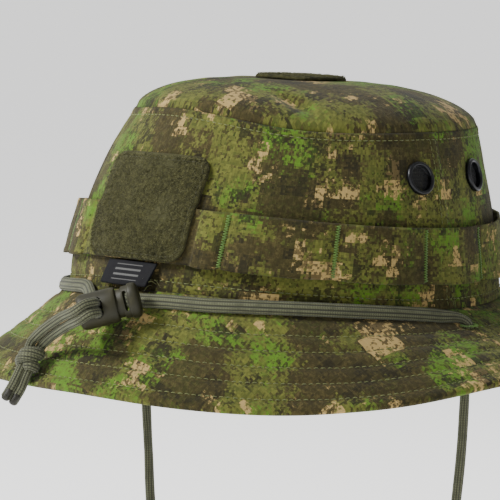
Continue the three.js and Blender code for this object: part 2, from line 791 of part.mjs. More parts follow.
// The chin loop hangs from the two holes.
const LOOP = [
  [-106.5, -4, -41],
  [-105, -4.5, -75],
  [-100, -5, -110],
  [-88, -6, -145],
  [-66, -7, -175],
  [-36, -8, -195],
  [-4, -8, -202],
  [28, -8, -196],
  [56, -7, -178],
  [75, -6, -148],
  [84, -5, -115],
  [88, -4.5, -82],
  [93, -4, -46],
];
const loopCord = [
  inHole("right", HOLE_MIDDLE + GAP / 2),
  inHole("right", BRIM_THICK + 3),
  ...vectors(LOOP),
  inHole("left", BRIM_THICK + 4),
  inHole("left", HOLE_MIDDLE + GAP / 2),
];

const RUN_STEPS = 44;
const LOOP_STEPS = 52;
addMesh("chin_cord_right", tube(rightCord, CORD, RUN_STEPS), cordBraid);
addMesh("chin_cord_left", tube(leftCord, CORD, RUN_STEPS), cordBraid);
addMesh("chin_cord_loop", tube(loopCord, CORD, LOOP_STEPS), cordBraid);

// The overhand knot that holds the tails together, and what is left of them past it.
const knotProfile = [
  [0, -KNOT_HALF_LENGTH],
  [4.4, -KNOT_HALF_LENGTH],
  [5.6, -KNOT_HALF_LENGTH / 2],
  [5.6, KNOT_HALF_LENGTH / 2],
  [4.4, KNOT_HALF_LENGTH],
  [0, KNOT_HALF_LENGTH],
];
const knot = addMesh("chin_cord_knot", turned(knotProfile, 12), cordBraid);
knot.position.copy(KNOT_CENTRE);
knot.quaternion.setFromUnitVectors(new THREE.Vector3(0, 0, 1), KNOT_AXIS);

function tailEnd(side) {
  const start = [KNOT_FACE, KNOT_FACE + 1.5].map(alongKnot);
  const middles = [...start, ...vectors(TAIL_ENDS)];
  const spreads = middles.map(() => KNOT_SIDE);
  return tube(pairLine(middles, spreads, side), CORD, 6);
}

addMesh("chin_cord_end_right", tailEnd(1), cordBraid);
addMesh("chin_cord_end_left", tailEnd(-1), cordBraid);

export default hat;
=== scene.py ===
import math

import bmesh
import bpy
import numpy as np
from mathutils import Matrix, Vector, noise
from mathutils.bvhtree import BVHTree


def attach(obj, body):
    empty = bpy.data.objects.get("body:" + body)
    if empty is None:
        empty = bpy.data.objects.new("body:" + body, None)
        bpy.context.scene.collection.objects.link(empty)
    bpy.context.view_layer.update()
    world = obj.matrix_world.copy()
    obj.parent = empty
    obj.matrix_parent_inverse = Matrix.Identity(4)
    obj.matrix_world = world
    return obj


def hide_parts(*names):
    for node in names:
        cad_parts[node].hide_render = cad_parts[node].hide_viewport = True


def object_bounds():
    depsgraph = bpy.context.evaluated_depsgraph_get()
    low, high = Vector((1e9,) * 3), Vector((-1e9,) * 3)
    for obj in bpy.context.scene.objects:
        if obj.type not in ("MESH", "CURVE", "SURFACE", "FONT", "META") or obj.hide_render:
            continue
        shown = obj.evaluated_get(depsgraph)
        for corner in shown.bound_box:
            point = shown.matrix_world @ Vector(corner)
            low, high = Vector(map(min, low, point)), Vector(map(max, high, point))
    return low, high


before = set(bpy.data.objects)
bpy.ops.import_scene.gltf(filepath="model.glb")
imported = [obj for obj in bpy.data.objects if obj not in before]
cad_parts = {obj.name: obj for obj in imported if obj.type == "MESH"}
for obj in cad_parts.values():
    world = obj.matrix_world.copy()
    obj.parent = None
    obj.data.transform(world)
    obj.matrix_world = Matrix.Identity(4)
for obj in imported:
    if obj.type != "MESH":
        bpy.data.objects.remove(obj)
cad_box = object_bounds()
MM = 0.001

# ---- camera ----------------------------------------------------------------

CAMERA_AZIMUTH = math.radians(223.65)
CAMERA_ELEVATION = math.radians(4)
CAMERA_ROLL = math.radians(2.52)
CAMERA_DISTANCE = 1.9594
CAMERA_TARGET = Vector((0.01215, 0.01159, 0.01557))
CAMERA_LENS = 311.5  # millimetres, as the sensor's width is
SENSOR_WIDTH = 36


def make_camera():
    level = math.cos(CAMERA_ELEVATION)
    back = Vector((
        math.sin(CAMERA_AZIMUTH) * level,
        -math.cos(CAMERA_AZIMUTH) * level,
        math.sin(CAMERA_ELEVATION),
    ))
    side = Vector((math.cos(CAMERA_AZIMUTH), math.sin(CAMERA_AZIMUTH), 0))
    up = back.cross(side)
    right = side * math.cos(CAMERA_ROLL) + up * math.sin(CAMERA_ROLL)
    up = back.cross(right)
    turn = Matrix((right, up, back)).transposed()
    data = bpy.data.cameras.new("camera")
    data.lens = CAMERA_LENS
    data.sensor_width = SENSOR_WIDTH
    data.clip_start = 0.05
    data.clip_end = 200
    camera = bpy.data.objects.new("camera", data)
    camera.matrix_world = Matrix.Translation(CAMERA_TARGET + back * CAMERA_DISTANCE) @ turn.to_4x4()
    bpy.context.scene.collection.objects.link(camera)
    bpy.context.scene.camera = camera


make_camera()

# ---- the hat's dimensions, as in the CAD model (millimetres and degrees) ----

GAP = 0.3
CLOTH = 1.6
CLOTH_SLACK = 0.2  # how much thinner a cloth's look is than its CAD piece
SEAM_HALF_WIDTH = 93
SEAM_HALF_LENGTH = 102
SEAM_HEIGHTS = [-4, -3, 1.8, 0, -2.7, 0, 2.7, 0]  # each 45 degrees, from +X
EAR_DIP = 2.7
TIP_HALF_WIDTH = 76
TIP_HALF_LENGTH = 79
TIP_FORWARD = 9
TIP_HEIGHTS = [80, 78, 80, 73.5, 74.5, 76, 75.5, 76.5]
TIP_MEAN_HEIGHT = 77
WALL_BOW = 4
WALL_BOW_SWING = 2.2
WALL_BOW_SIDE = 45
DOME_HEIGHT = 16.5
DOME_FLAT = 0.3
DOME_ROUNDNESS = 0.56  # 0.5 is an ellipse: this is a little slacker at the seam
DOME_MIDDLE = -4
BRIM_WIDTH = 57
BRIM_DROOPS = [41, 40, 48, 50, 25, 12, 18, 26]
BRIM_THICK = 3.2
BAND_LOW = 12
BAND_HIGH = 36
BAND_CLOTH = 1.4
BAND_SWELL = 2.4
BARTACKS = [2, 29, 57, 117.5, 146.5, 173, 196, 223, 251, 279, 307, 335]
VENTS = {"right_rear": 172.5, "right_front": 200, "left_rear": 7.5, "left_front": -20}
VENT_UP = 0.74
VENT_RADIUS = 7.5
CORD = 4
CORD_HOLE_IN = 14.5
CORD_HOLE_ANGLES = {"left": -2, "right": 182}

# ---- the shape of the hat --------------------------------------------------


def lerp(a, b, share):
    return a + (b - a) * share


def stack(x, y, z):
    """Arrays of x, y and z as one array of points."""
    return np.stack(np.broadcast_arrays(x, y, z), axis=-1).astype(float)


def unit(vectors):
    return vectors / np.linalg.norm(vectors, axis=-1, keepdims=True)


def around(values, degrees):
    """A smooth closed curve through values spaced evenly round the hat."""
    values = np.array(values, float)
    place = np.mod(np.asarray(degrees, float) / 360, 1) * len(values)
    first = np.floor(place).astype(int)
    t = place - first
    before, start, end, after = (values[(first + k) % len(values)] for k in (-1, 0, 1, 2))
    start_slope = (end - before) / 2
    end_slope = (after - start) / 2
    rise = end - start
    square = (3 * rise - 2 * start_slope - end_slope) * t * t
    return start + start_slope * t + square + (start_slope + end_slope - 2 * rise) * t**3


def outward(degrees):
    """The level direction out of the crown."""
    angle = np.radians(degrees)
    return unit(stack(np.cos(angle) / SEAM_HALF_WIDTH, np.sin(angle) / SEAM_HALF_LENGTH, 0))


def seam_point(degrees):
    angle = np.radians(degrees)
    heights = around(SEAM_HEIGHTS, degrees)
    return stack(SEAM_HALF_WIDTH * np.cos(angle), SEAM_HALF_LENGTH * np.sin(angle), heights)


def tip_point(degrees):
    angle = np.radians(degrees)
    x = TIP_HALF_WIDTH * np.cos(angle)
    y = TIP_HALF_LENGTH * np.sin(angle) - TIP_FORWARD
    return stack(x, y, around(TIP_HEIGHTS, degrees))


def wall_point(degrees, up, out=0):
    """A point on the crown wall: up is 0 at the lower seam and 1 at the upper one."""
    degrees, up, out = np.broadcast_arrays(degrees, up, out)
    share = np.maximum(up, 0)[..., None]
    swell = WALL_BOW + WALL_BOW_SWING * np.cos(np.radians(degrees - WALL_BOW_SIDE))
    bow = swell[..., None] * 4 * share * (1 - share)
    point = lerp(seam_point(degrees), tip_point(degrees), share)
    point[..., 2] += np.minimum(up, 0) * tip_point(degrees)[..., 2]
    return point + outward(degrees) * (bow + out[..., None])


def wall_share(degrees, height):
    """How far up the wall a height above the line that dips over the ears is."""
    line = -EAR_DIP * np.cos(2 * np.radians(degrees))
    low = around(SEAM_HEIGHTS, degrees)
    return (height + line - low) / (around(TIP_HEIGHTS, degrees) - low)


def trim_point(degrees, height, out=0):
    return wall_point(degrees, wall_share(degrees, height), out)


def dome_point(degrees, share, out=0):
    """A point of the crown's top: share is 0 in the middle and 1 at the seam."""
    degrees, share, out = np.broadcast_arrays(degrees, share, out)
    rise = np.clip((share - DOME_FLAT) / (1 - DOME_FLAT), 0, 1)
    middle = np.array([0, DOME_MIDDLE, 0])
    point = tip_point(degrees) - middle
    height = TIP_MEAN_HEIGHT + (point[..., 2] - TIP_MEAN_HEIGHT) * rise * rise
    dome = (DOME_HEIGHT + out) * (1 - rise * rise) ** DOME_ROUNDNESS
    point = point * (share * (1 + out / TIP_HALF_WIDTH))[..., None] + middle
    point[..., 2] = height + dome + GAP * (1 - share**8)
    return point


def brim_point(degrees, slope, deep=0):
    """A point of the brim: slope millimetres down from the crown, and deep below its upper face."""
    degrees, slope, deep = np.broadcast_arrays(degrees, slope, deep)
    droop = np.radians(around(BRIM_DROOPS, degrees))
    start = (GAP + deep * np.sin(droop)) / np.cos(droop)
    along = start + (BRIM_WIDTH - start) * slope / BRIM_WIDTH
    level = along * np.cos(droop) - deep * np.sin(droop)
    point = seam_point(degrees) + outward(degrees) * level[..., None]
    point[..., 2] -= along * np.sin(droop) + deep * np.cos(droop)
    return point


# ---- noise for folds and dents ---------------------------------------------


SEED_STEP = 7.31  # how far apart in the noise two seeds are


def ripple(points, size, seed):
    """Smooth noise from -1 to 1 at each point, with features about size across."""
    flat = points.reshape(-1, 3) / size + seed * SEED_STEP
    values = [noise.noise(Vector(p)) for p in flat]
    return np.array(values).reshape(points.shape[:-1])


def ridge(distance, width):
    """1 on a line and falling smoothly to 0 at width from it."""
    return np.exp(-((np.asarray(distance) / (width / 2)) ** 2))


# ---- meshes ----------------------------------------------------------------


def make_object(name, points, faces, uv=None, smooth=True):
    """A mesh object from points in millimetres, with cloth coordinates in millimetres."""
    mesh = bpy.data.meshes.new(name)
    mesh.from_pydata((np.asarray(points).reshape(-1, 3) * MM).tolist(), [], faces)
    if uv is not None:
        layer = mesh.uv_layers.new(name="cloth")
        loops = np.empty(len(mesh.loops), np.int32)
        mesh.loops.foreach_get("vertex_index", loops)
        layer.data.foreach_set("uv", np.asarray(uv, float).reshape(-1, 2)[loops].ravel())
    mesh.polygons.foreach_set("use_smooth", [smooth] * len(mesh.polygons))
    mesh.update()
    piece = bpy.data.objects.new(name, mesh)
    bpy.context.scene.collection.objects.link(piece)
    return piece


def grid_faces(rows, columns, closed_rows=False, closed_columns=False, first=0):
    """The faces of a grid of points, row by row."""
    faces = []
    for row in range(rows if closed_rows else rows - 1):
        for column in range(columns if closed_columns else columns - 1):
            next_row = (row + 1) % rows
            next_column = (column + 1) % columns
            faces.append((
                first + row * columns + column,
                first + row * columns + next_column,
                first + next_row * columns + next_column,
                first + next_row * columns + column,
            ))
    return faces


def tube_faces(rings, sides, first=0):
    """The faces of a tube with flat ends."""
    last = first + (rings - 1) * sides
    ends = [tuple(range(first, first + sides))[::-1], tuple(range(last, last + sides))]
    return grid_faces(rings, sides, closed_columns=True, first=first) + ends


def circle(sides, start=0):
    """Angles spaced evenly round a circle, in radians."""
    return 2 * np.pi * (np.arange(sides) + start) / sides


def all_round(columns):
    """A grid's row of angles right round the hat, in degrees."""
    return (np.arange(columns) * 360 / columns)[None, :]


def tube_points(line, side, third, radius, sides, start=0):
    """Rings of points round a line. The radius is one number, or one for each point."""
    angle = circle(sides, start)
    side, third = np.broadcast_to(side, line.shape), np.broadcast_to(third, line.shape)
    ring = side[:, None] * np.cos(angle)[None, :, None] + third[:, None] * np.sin(angle)[None, :, None]
    return line[:, None] + ring * np.broadcast_to(radius, len(line))[:, None, None]


def way_along(points):
    """How far along a line each of its points is."""
    steps = np.linalg.norm(np.diff(points, axis=0), axis=1)
    return np.concatenate([[0], np.cumsum(steps)])


def at_distances(stops, travelled, points):
    """The points of a line at distances along it."""
    columns = [np.interp(stops, travelled, points[:, k]) for k in range(points.shape[1])]
    return np.stack(columns, axis=-1)


def outward_faces(piece):
    """Turns a closed piece's faces outwards."""
    mesh = bmesh.new()
    mesh.from_mesh(piece.data)
    bmesh.ops.recalc_face_normals(mesh, faces=mesh.faces)
    mesh.to_mesh(piece.data)
    mesh.free()


def thicken(piece, thickness, offset=-1):
    solid = piece.modifiers.new("thickness", "SOLIDIFY")
    solid.thickness = thickness * MM
    solid.offset = offset
    solid.use_even_offset = False


def soften(piece):
    """Rounds a coarse mesh by one subdivision."""
    smooth = piece.modifiers.new("smooth", "SUBSURF")
    smooth.levels = smooth.render_levels = 1


def dress(piece, material, body="hat", stands_for=()):
    """Gives a piece its material, its body and the CAD nodes it stands for."""
    piece.data.materials.append(material)
    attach(piece, body)
    if stands_for:
        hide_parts(*stands_for)
    return piece


# ---- nodes -----------------------------------------------------------------


class Nodes:
    """Builds one material's node tree."""

    def __init__(self, name):
        self.material = bpy.data.materials.new(name)
        self.material.use_nodes = True
        self.tree = self.material.node_tree
        self.tree.nodes.clear()
        self.shader = self.tree.nodes.new("ShaderNodeBsdfPrincipled")
        output = self.tree.nodes.new("ShaderNodeOutputMaterial")
        self.tree.links.new(self.shader.outputs[0], output.inputs[0])

    def put(self, socket, value):
        if isinstance(value, bpy.types.NodeSocket):
            self.tree.links.new(value, socket)
        else:
            socket.default_value = value

    def node(self, kind, settings=None, **values):
        made = self.tree.nodes.new("ShaderNode" + kind)
        for key, value in (settings or {}).items():
            setattr(made, key, value)
        for key, value in values.items():
            self.put(made.inputs[key.replace("_", " ")], value)
        return made

    def math(self, operation, *values):
        made = self.node("Math", {"operation": operation})
        for socket, value in zip(made.inputs, values):
            self.put(socket, value)
        return made.outputs[0]

    def vector(self, operation, *values):
        made = self.node("VectorMath", {"operation": operation})
        for socket, value in zip(made.inputs, values):
            self.put(socket, value)
        return made.outputs[0]

    def mix(self, share, a, b, blend="MIX"):
        made = self.node("Mix", {"data_type": "RGBA", "blend_type": blend})
        self.put(made.inputs[0], share)
        self.put(made.inputs[6], a)
        self.put(made.inputs[7], b)
        return made.outputs[2]

    def ramp(self, value, low, high):
        """0 below low and 1 above high, smooth between them."""
        made = self.node("MapRange", {"interpolation_type": "SMOOTHSTEP"})
        self.put(made.inputs["Value"], value)
        made.inputs["From Min"].default_value = low
        made.inputs["From Max"].default_value = high
        return made.outputs[0]

    def line(self, value, gain, start):
        """start plus gain times value."""
        return self.math("ADD", start, self.math("MULTIPLY", value, gain))

    def tint(self, color, other, share, most):
        """A colour moved towards another, by at most a share."""
        return self.mix(self.math("MULTIPLY", share, most), color, other)

    def shade(self, color, light):
        """A colour multiplied by a brightness."""
        gray = self.node("CombineColor", Red=light, Green=light, Blue=light).outputs[0]
        return self.mix(1.0, color, gray, "MULTIPLY")

    def noise(self, vector, size, detail=2.0, roughness=0.5):
        made = self.node("TexNoise", Vector=vector, Scale=1 / size, Detail=detail)
        made.inputs["Roughness"].default_value = roughness
        return made.outputs["Fac"]

    def white(self, vector):
        return self.node("TexWhiteNoise", Vector=vector).outputs["Value"]

    def cloth(self):
        """The cloth coordinates, in millimetres."""
        return self.node("UVMap", {"uv_map": "cloth"}).outputs["UV"]

    def place(self):
        """The place in the row frame, in millimetres."""
        made = self.node("TexCoord").outputs["Object"]
        return self.vector("MULTIPLY", made, (1000, 1000, 1000))

    def wave(self, vector, size, axis="X"):
        """Stripes across an axis, one every size."""
        made = self.node("TexWave", {"wave_profile": "SIN", "bands_direction": axis}, Vector=vector)
        # Blender's wave has a period of pi / 10 at scale 1.
        made.inputs["Scale"].default_value = math.pi / 10 / size
        return made.outputs["Fac"]

    def bump(self, height, distance, strength=1.0, normal=None):
        made = self.node("Bump", Height=height, Distance=distance * MM, Strength=strength)
        if normal:
            self.put(made.inputs["Normal"], normal)
        return made.outputs[0]

    def finish(self, color, roughness, normal=None, **values):
        self.put(self.shader.inputs["Base Color"], color)
        self.put(self.shader.inputs["Roughness"], roughness)
        if normal:
            self.put(self.shader.inputs["Normal"], normal)
        for key, value in values.items():
            self.put(self.shader.inputs[key.replace("_", " ")], value)
        return self.material


def rgb(red, green, blue):
    """A screen colour from 0 to 255 as a linear colour."""
    def linear(value):
        value /= 255
        return value / 12.92 if value <= 0.04045 else ((value + 0.055) / 1.055) ** 2.4
    return (linear(red), linear(green), linear(blue), 1)


# ---- materials -------------------------------------------------------------

OLIVE = rgb(96, 98, 43)
MOSS = rgb(68, 73, 31)
BROWN = rgb(47, 41, 22)
UMBER = rgb(70, 61, 34)
DARK = rgb(31, 29, 17)
GREEN = rgb(78, 112, 30)
TAN = rgb(158, 135, 85)

CAMO_BLOCK = 4.4  # the print's patches have edges in steps of this
CAMO_CELL = 1.1  # and break up into squares of this size


def weave_height(n, cloth):
    """A plain weave of 0.5 mm threads, with the thicker threads of a ripstop grid every 5 mm."""
    warp = n.wave(cloth, 0.5, "X")
    weft = n.wave(cloth, 0.5, "Y")
    threads = n.math("MAXIMUM", warp, weft)
    stops = []
    for axis in ("X", "Y"):
        lines = n.wave(cloth, 5.0, axis)
        stops.append(n.ramp(lines, 0.965, 0.995))
    grid = n.math("MAXIMUM", *stops)
    return threads, grid


def camo_material(name, seed):
    """Olive cloth printed with soft green, blocky brown and broken tan patches."""
    n = Nodes(name)
    cloth = n.cloth()
    moved = n.vector("ADD", cloth, (seed * 137.0, seed * 71.0, seed * 3.0))
    block = n.vector("SNAP", moved, (CAMO_BLOCK, CAMO_BLOCK, 1))
    cell = n.vector("SNAP", moved, (CAMO_CELL, CAMO_CELL, 1))
    sponge = n.noise(moved, 2.1, 4, 0.72)
    specks = n.noise(cell, 1.9, 3, 0.75)
    dither = n.white(cell)

    def patch(shift, size, threshold, soft, rough, broken):
        """Where one colour of the print lies, from 0 to 1."""
        broad = n.noise(n.vector("ADD", block, shift), size, 1.5, 0.5)
        local = n.noise(n.vector("ADD", cell, shift), size * 0.3, 2, 0.6)
        value = n.line(local, 0.3, n.math("MULTIPLY", broad, 0.7))
        value = n.line(n.math("SUBTRACT", sponge, 0.5), rough, value)
        value = n.line(n.math("SUBTRACT", dither, 0.5), broken, value)
        return n.ramp(value, threshold - soft, threshold + soft)

    color = n.mix(n.ramp(specks, 0.36, 0.64), MOSS, OLIVE)
    green = patch((40, 10, 0), 34, 0.53, 0.035, 0.2, 0.08)
    color = n.tint(color, GREEN, green, n.ramp(specks, 0.34, 0.56))
    brown = patch((5, 90, 0), 31, 0.505, 0.02, 0.2, 0.07)
    color = n.mix(n.math("MULTIPLY", brown, 0.92), color, n.mix(n.ramp(sponge, 0.42, 0.66), BROWN, UMBER))
    tan = patch((170, 33, 0), 18, 0.6, 0.016, 0.2, 0.03)
    color = n.mix(tan, color, TAN)
    dots = n.ramp(n.noise(moved, 1.7, 1, 0.5), 0.55, 0.6)
    dotted = patch((210, 61, 0), 24, 0.47, 0.03, 0.2, 0.06)
    color = n.tint(color, BROWN, n.math("MULTIPLY", dots, dotted), 0.8)
    dark = patch((80, 140, 0), 12, 0.585, 0.012, 0.3, 0.1)
    color = n.tint(color, DARK, dark, 0.75)
    threads, grid = weave_height(n, cloth)
    fade = n.noise(moved, 38, 2)
    light = n.line(fade, 0.36, 0.72)
    light = n.line(n.math("SUBTRACT", sponge, 0.5), 0.45, light)
    # Lighter on the raised threads and on the ripstop grid's thicker threads, which the bump also raises:
    # painted light.
    light = n.line(threads, 0.12, light)
    light = n.line(grid, 0.08, light)
    color = n.shade(color, light)
    fuzz = n.noise(moved, 0.35, 2, 0.6)
    height = n.line(fuzz, 0.8, n.line(grid, 1.2, threads))
    crease = n.bump(n.noise(moved, 6, 3, 0.6), 0.8, 0.6)
    normal = n.bump(height, 0.1, 0.7, crease)
    return n.finish(
        color, n.line(threads, 0.1, 0.82), normal,
        Sheen_Weight=0.05, Sheen_Roughness=0.5, Specular_IOR_Level=0.15,
    )


def thread_material(name, color):
    """Twisted sewing thread."""
    n = Nodes(name)
    place = n.place()
    twist = n.wave(n.vector("ADD", place, n.vector("MULTIPLY", place, (0.6, 0.9, 0.3))), 0.35, "DIAGONAL")
    worn = n.noise(place, 9, 3)
    tone = n.line(worn, 0.7, 0.65)
    # Lighter on the crowns of the twist and darker between them, following the bump: painted light and
    # painted shade.
    tone = n.math("MULTIPLY", tone, n.line(twist, 0.3, 0.8))
    return n.finish(
        n.shade(color, tone), 0.7, n.bump(twist, 0.08, 0.8),
        Sheen_Weight=0.2, Specular_IOR_Level=0.3,
    )


def lining_material():
    """The sweatband's twill tape."""
    n = Nodes("lining_twill")
    place = n.place()
    twill = n.wave(n.vector("MULTIPLY", place, (1, 1, 1.4)), 0.9, "DIAGONAL")
    worn = n.noise(place, 22, 4)
    color = n.mix(worn, rgb(92, 88, 60), rgb(70, 66, 46))
    color = n.tint(color, rgb(50, 47, 34), twill, 0.35)
    return n.finish(color, 0.92, n.bump(twill, 0.15, 0.8), Sheen_Weight=0.2)


def fill_material():
    """The brim's hidden stiffener, a pale felted sheet."""
    n = Nodes("fill_felt")
    place = n.place()
    fibre = n.noise(place, 0.8, 4, 0.7)
    color = n.mix(fibre, rgb(186, 182, 170), rgb(222, 219, 210))
    return n.finish(color, 0.95, n.bump(fibre, 0.3, 0.7), Sheen_Weight=0.2)


def pile_material(name, dark, light):
    """Loop pile: painted shade between the loops and painted light on the top of each, following the curl
    noise that also drives the bump.
    """
    n = Nodes(name)
    place = n.place()
    curl = n.noise(place, 0.75, 4, 0.8)
    tuft = n.noise(place, 2.2, 3, 0.65)
    worn = n.noise(place, 18, 3)
    # Painted light and shade: the share is high, so lighter, where the curl noise raises the loops, and low,
    # so darker, between them.
    share = n.ramp(n.line(tuft, 0.3, n.math("MULTIPLY", curl, 0.7)), 0.38, 0.68)
    color = n.tint(n.mix(share, dark, light), rgb(92, 92, 62), n.ramp(worn, 0.45, 0.7), 0.3)
    return n.finish(
        color, 0.95, n.bump(curl, 0.7, 0.9), Sheen_Weight=0.04, Sheen_Roughness=0.5,
        Specular_IOR_Level=0.15,
    )


def cord_material():
    """Braided sheath: lengthwise lanes of slanting stitches. The cloth coordinates count lanes
    round the cord and stitches along it."""
    n = Nodes("braided_cord")
    split = n.node("SeparateXYZ", Vector=n.cloth())
    across, along = split.outputs[0], split.outputs[1]
    in_lane = n.math("FRACT", across)
    from_middle = n.math("ABSOLUTE", n.math("SUBTRACT", in_lane, 0.5))
    slanted = n.line(from_middle, 1.2, along)
    stitch = n.math("ABSOLUTE", n.math("SINE", n.math("MULTIPLY", slanted, math.pi)))
    lane = n.math("SUBTRACT", 1.0, n.ramp(from_middle, 0.22, 0.48))
    raised = n.math("MULTIPLY", lane, n.line(stitch, 0.55, 0.45))
    yarn = n.noise(n.place(), 0.35, 3, 0.6)
    worn = n.noise(n.place(), 6, 3, 0.6)
    # Painted shade and painted light: darker in the grooves between the lanes and stitches, lighter on their
    # raised tops, following the same height as the bump.
    color = n.mix(n.ramp(raised, 0.05, 0.75), rgb(32, 33, 21), rgb(70, 72, 50))
    # A painted highlight on the tops of the raised stitches; the worn noise only breaks it into patches.
    bright = n.math("MULTIPLY", n.ramp(raised, 0.6, 0.95), n.ramp(worn, 0.3, 0.6))
    color = n.tint(color, rgb(112, 115, 86), bright, 0.6)
    color = n.tint(color, rgb(60, 61, 44), yarn, 0.3)
    height = n.line(yarn, 0.3, raised)
    return n.finish(color, 0.72, n.bump(height, 0.3, 0.8), Sheen_Weight=0.12, Specular_IOR_Level=0.3)


def sealed_material():
    """Nylon melted shut at a cord's end."""
    n = Nodes("melted_nylon")
    lumps = n.noise(n.place(), 1.1, 3)
    color = n.mix(lumps, rgb(16, 16, 11), rgb(40, 39, 26))
    rough = n.line(lumps, 0.3, 0.4)
    return n.finish(color, rough, n.bump(lumps, 0.5, 0.6), Specular_IOR_Level=0.3)


def plastic_material(name, dark, light):
    """Moulded plastic with a fine texture and scuffed patches."""
    n = Nodes(name)
    place = n.place()
    grain = n.noise(place, 0.28, 3, 0.6)
    worn = n.noise(place, 5, 4, 0.6)
    flow = n.noise(n.vector("MULTIPLY", place, (1, 1, 0.3)), 9, 2)
    color = n.mix(n.ramp(flow, 0.3, 0.75), dark, light)
    color = n.tint(color, rgb(76, 73, 48), n.ramp(worn, 0.56, 0.72), 0.2)
    rough = n.line(worn, 0.26, 0.42)
    return n.finish(color, rough, n.bump(grain, 0.06, 0.6), Specular_IOR_Level=0.3)


def metal_material(name, dark, light, metallic, low, spread):
    """Painted or bright metal with fine scratches."""
    n = Nodes(name)
    place = n.place()
    scratch = n.noise(n.vector("MULTIPLY", place, (1, 6, 1)), 1.6, 4, 0.7)
    smudge = n.noise(place, 7, 3)
    color = n.mix(n.ramp(scratch, 0.5, 0.75), dark, light)
    rough = n.line(smudge, spread, low)
    return n.finish(color, rough, n.bump(scratch, 0.03, 0.4), Metallic=metallic)


def label_material():
    """A woven label: fine ribs, and plain bars of lighter thread in the middle."""
    n = Nodes("woven_label")
    cloth = n.cloth()
    ribs = n.wave(cloth, 0.42, "Y")
    warp = n.wave(cloth, 0.6, "X")
    worn = n.noise(cloth, 3, 3)
    color = n.mix(worn, rgb(22, 22, 24), rgb(34, 34, 36))
    split = n.node("SeparateXYZ", Vector=cloth)
    across, up = split.outputs[0], split.outputs[1]
    bars = n.math("GREATER_THAN", n.wave(cloth, 2.3, "Y"), 0.7)
    inside = n.math("MULTIPLY", n.math("LESS_THAN", n.math("ABSOLUTE", across), 7),
                    n.math("LESS_THAN", n.math("ABSOLUTE", up), 3.4))
    bright = n.math("MULTIPLY", n.math("MULTIPLY", bars, inside), 0.75)
    color = n.mix(bright, color, rgb(112, 112, 110))
    color = n.tint(color, rgb(26, 26, 28), ribs, 0.25)
    height = n.line(bright, 0.8, n.line(warp, 0.5, ribs))
    return n.finish(color, 0.8, n.bump(height, 0.12, 0.8), Specular_IOR_Level=0.12)


FLOOR_GLOW = 0.9  # a light floor, as on a lit studio table


def floor_material():
    n = Nodes("studio_floor")
    return n.finish(
        rgb(244, 244, 242), 0.9, Emission_Color=rgb(255, 255, 255), Emission_Strength=FLOOR_GLOW,
    )


side_camo = camo_material("camo_side", 1)
top_camo = camo_material("camo_top", 2)
brim_camo = camo_material("camo_brim", 3)
band_camo = camo_material("camo_band", 4)
sewing_thread = thread_material("sewing_thread", rgb(98, 104, 56))
tack_thread = thread_material("bartack_thread", rgb(84, 118, 44))
panel_thread = thread_material("panel_thread", rgb(66, 66, 40))
lining = lining_material()
fill = fill_material()
pile = pile_material("loop_pile", rgb(24, 24, 10), rgb(80, 79, 44))
# The fibres are a lighter copy of the pile's yarn: painted light on the loops that stand out of the pile.
fibre = pile_material("loop_fibres", rgb(52, 52, 28), rgb(128, 127, 88))
braid = cord_material()
sealed = sealed_material()
lock_plastic = plastic_material("lock_plastic", rgb(33, 32, 16), rgb(44, 42, 23))
vent_metal = metal_material("vent_metal", rgb(15, 16, 18), rgb(52, 55, 62), 0.4, 0.22, 0.22)
vent_wire = metal_material("vent_wire", rgb(16, 17, 19), rgb(34, 35, 38), 0.3, 0.45, 0.2)
spring_steel = metal_material("spring_steel", rgb(150, 152, 154), rgb(205, 206, 208), 1.0, 0.2, 0.2)
label_cloth = label_material()

# ---- the cord lock's frame -------------------------------------------------

LOCK_CENTRE = Vector((-8.1, 126, -6))
LOCK_ROLL = math.radians(17)
LOCK_PITCH = math.radians(-10)
LOCK_YAW = math.radians(128)
LOCK_MATRIX = Matrix.Translation(LOCK_CENTRE) @ (
    Matrix.Rotation(LOCK_YAW, 4, "Z")
    @ Matrix.Rotation(LOCK_PITCH, 4, "Y")
    @ Matrix.Rotation(LOCK_ROLL, 4, "X")
)


def in_lock(x, y, z):
    """A point of the lock's own frame: +X out of its cord hole, +Y towards the plunger's cap."""
    return np.array(LOCK_MATRIX @ Vector((x, y, z)))


# ---- the chin cord's route, as in the CAD model -----------------------------

CORD_LIFT = CORD / 2 + GAP
CORD_FACE_LEAN = 0.35
CORD_PAIR = 2.25
PINCHED_PAIR = 1.7  # inside the knot
END_PAIR = 1.9
RIGHT_RUN = [
    (180.6, 12), (175, 8.6), (166, 6.2), (152, 5.6), (139, 6), (127, 6.8), (116, 8), (106, 8.4),
]
LEFT_RUN = [
    (-0.6, 10.5), (5, 6.8), (14, 4.4), (28, 3.4), (41, 3.2), (54, 3.2), (66, 3.6), (76, 4.6),
]
RIGHT_TURN = [(-17, 106.8, -2.2), (-7.6, 108.9, -2.5), (-2.4, 111.4, -2.8), (-0.4, 115, -4)]
LEFT_TURN = [(14.5, 108.8, -2.6), (8, 112.6, -5.9), (3, 116.2, -8.4)]
STRAIGHT_STOPS = [-8.5, -5.5, 0, 5, 8]
TAILS = [
    (-13.3, 133.8, -4.7), (-12.9, 137.5, -5.4), (-10.2, 139.9, -8), (-1, 138.1, -11.3),
    (7.2, 136.6, -15.1), (13.5, 136, -18.7),
]
KNOT_CENTRE = np.array([19.8, 139, -30.1])
KNOT_AXIS = unit(np.array([0.1, 0.43, -0.9]))
KNOT_SIDE = np.array([0.64, 0.61, 0.47])
KNOT_HALF_LENGTH = 6.5
KNOT_FACE = KNOT_HALF_LENGTH + GAP
TAIL_ENDS = [(20.6, 144.8, -41.5), (21.2, 146.4, -44.5), (22.6, 147.4, -47.5)]
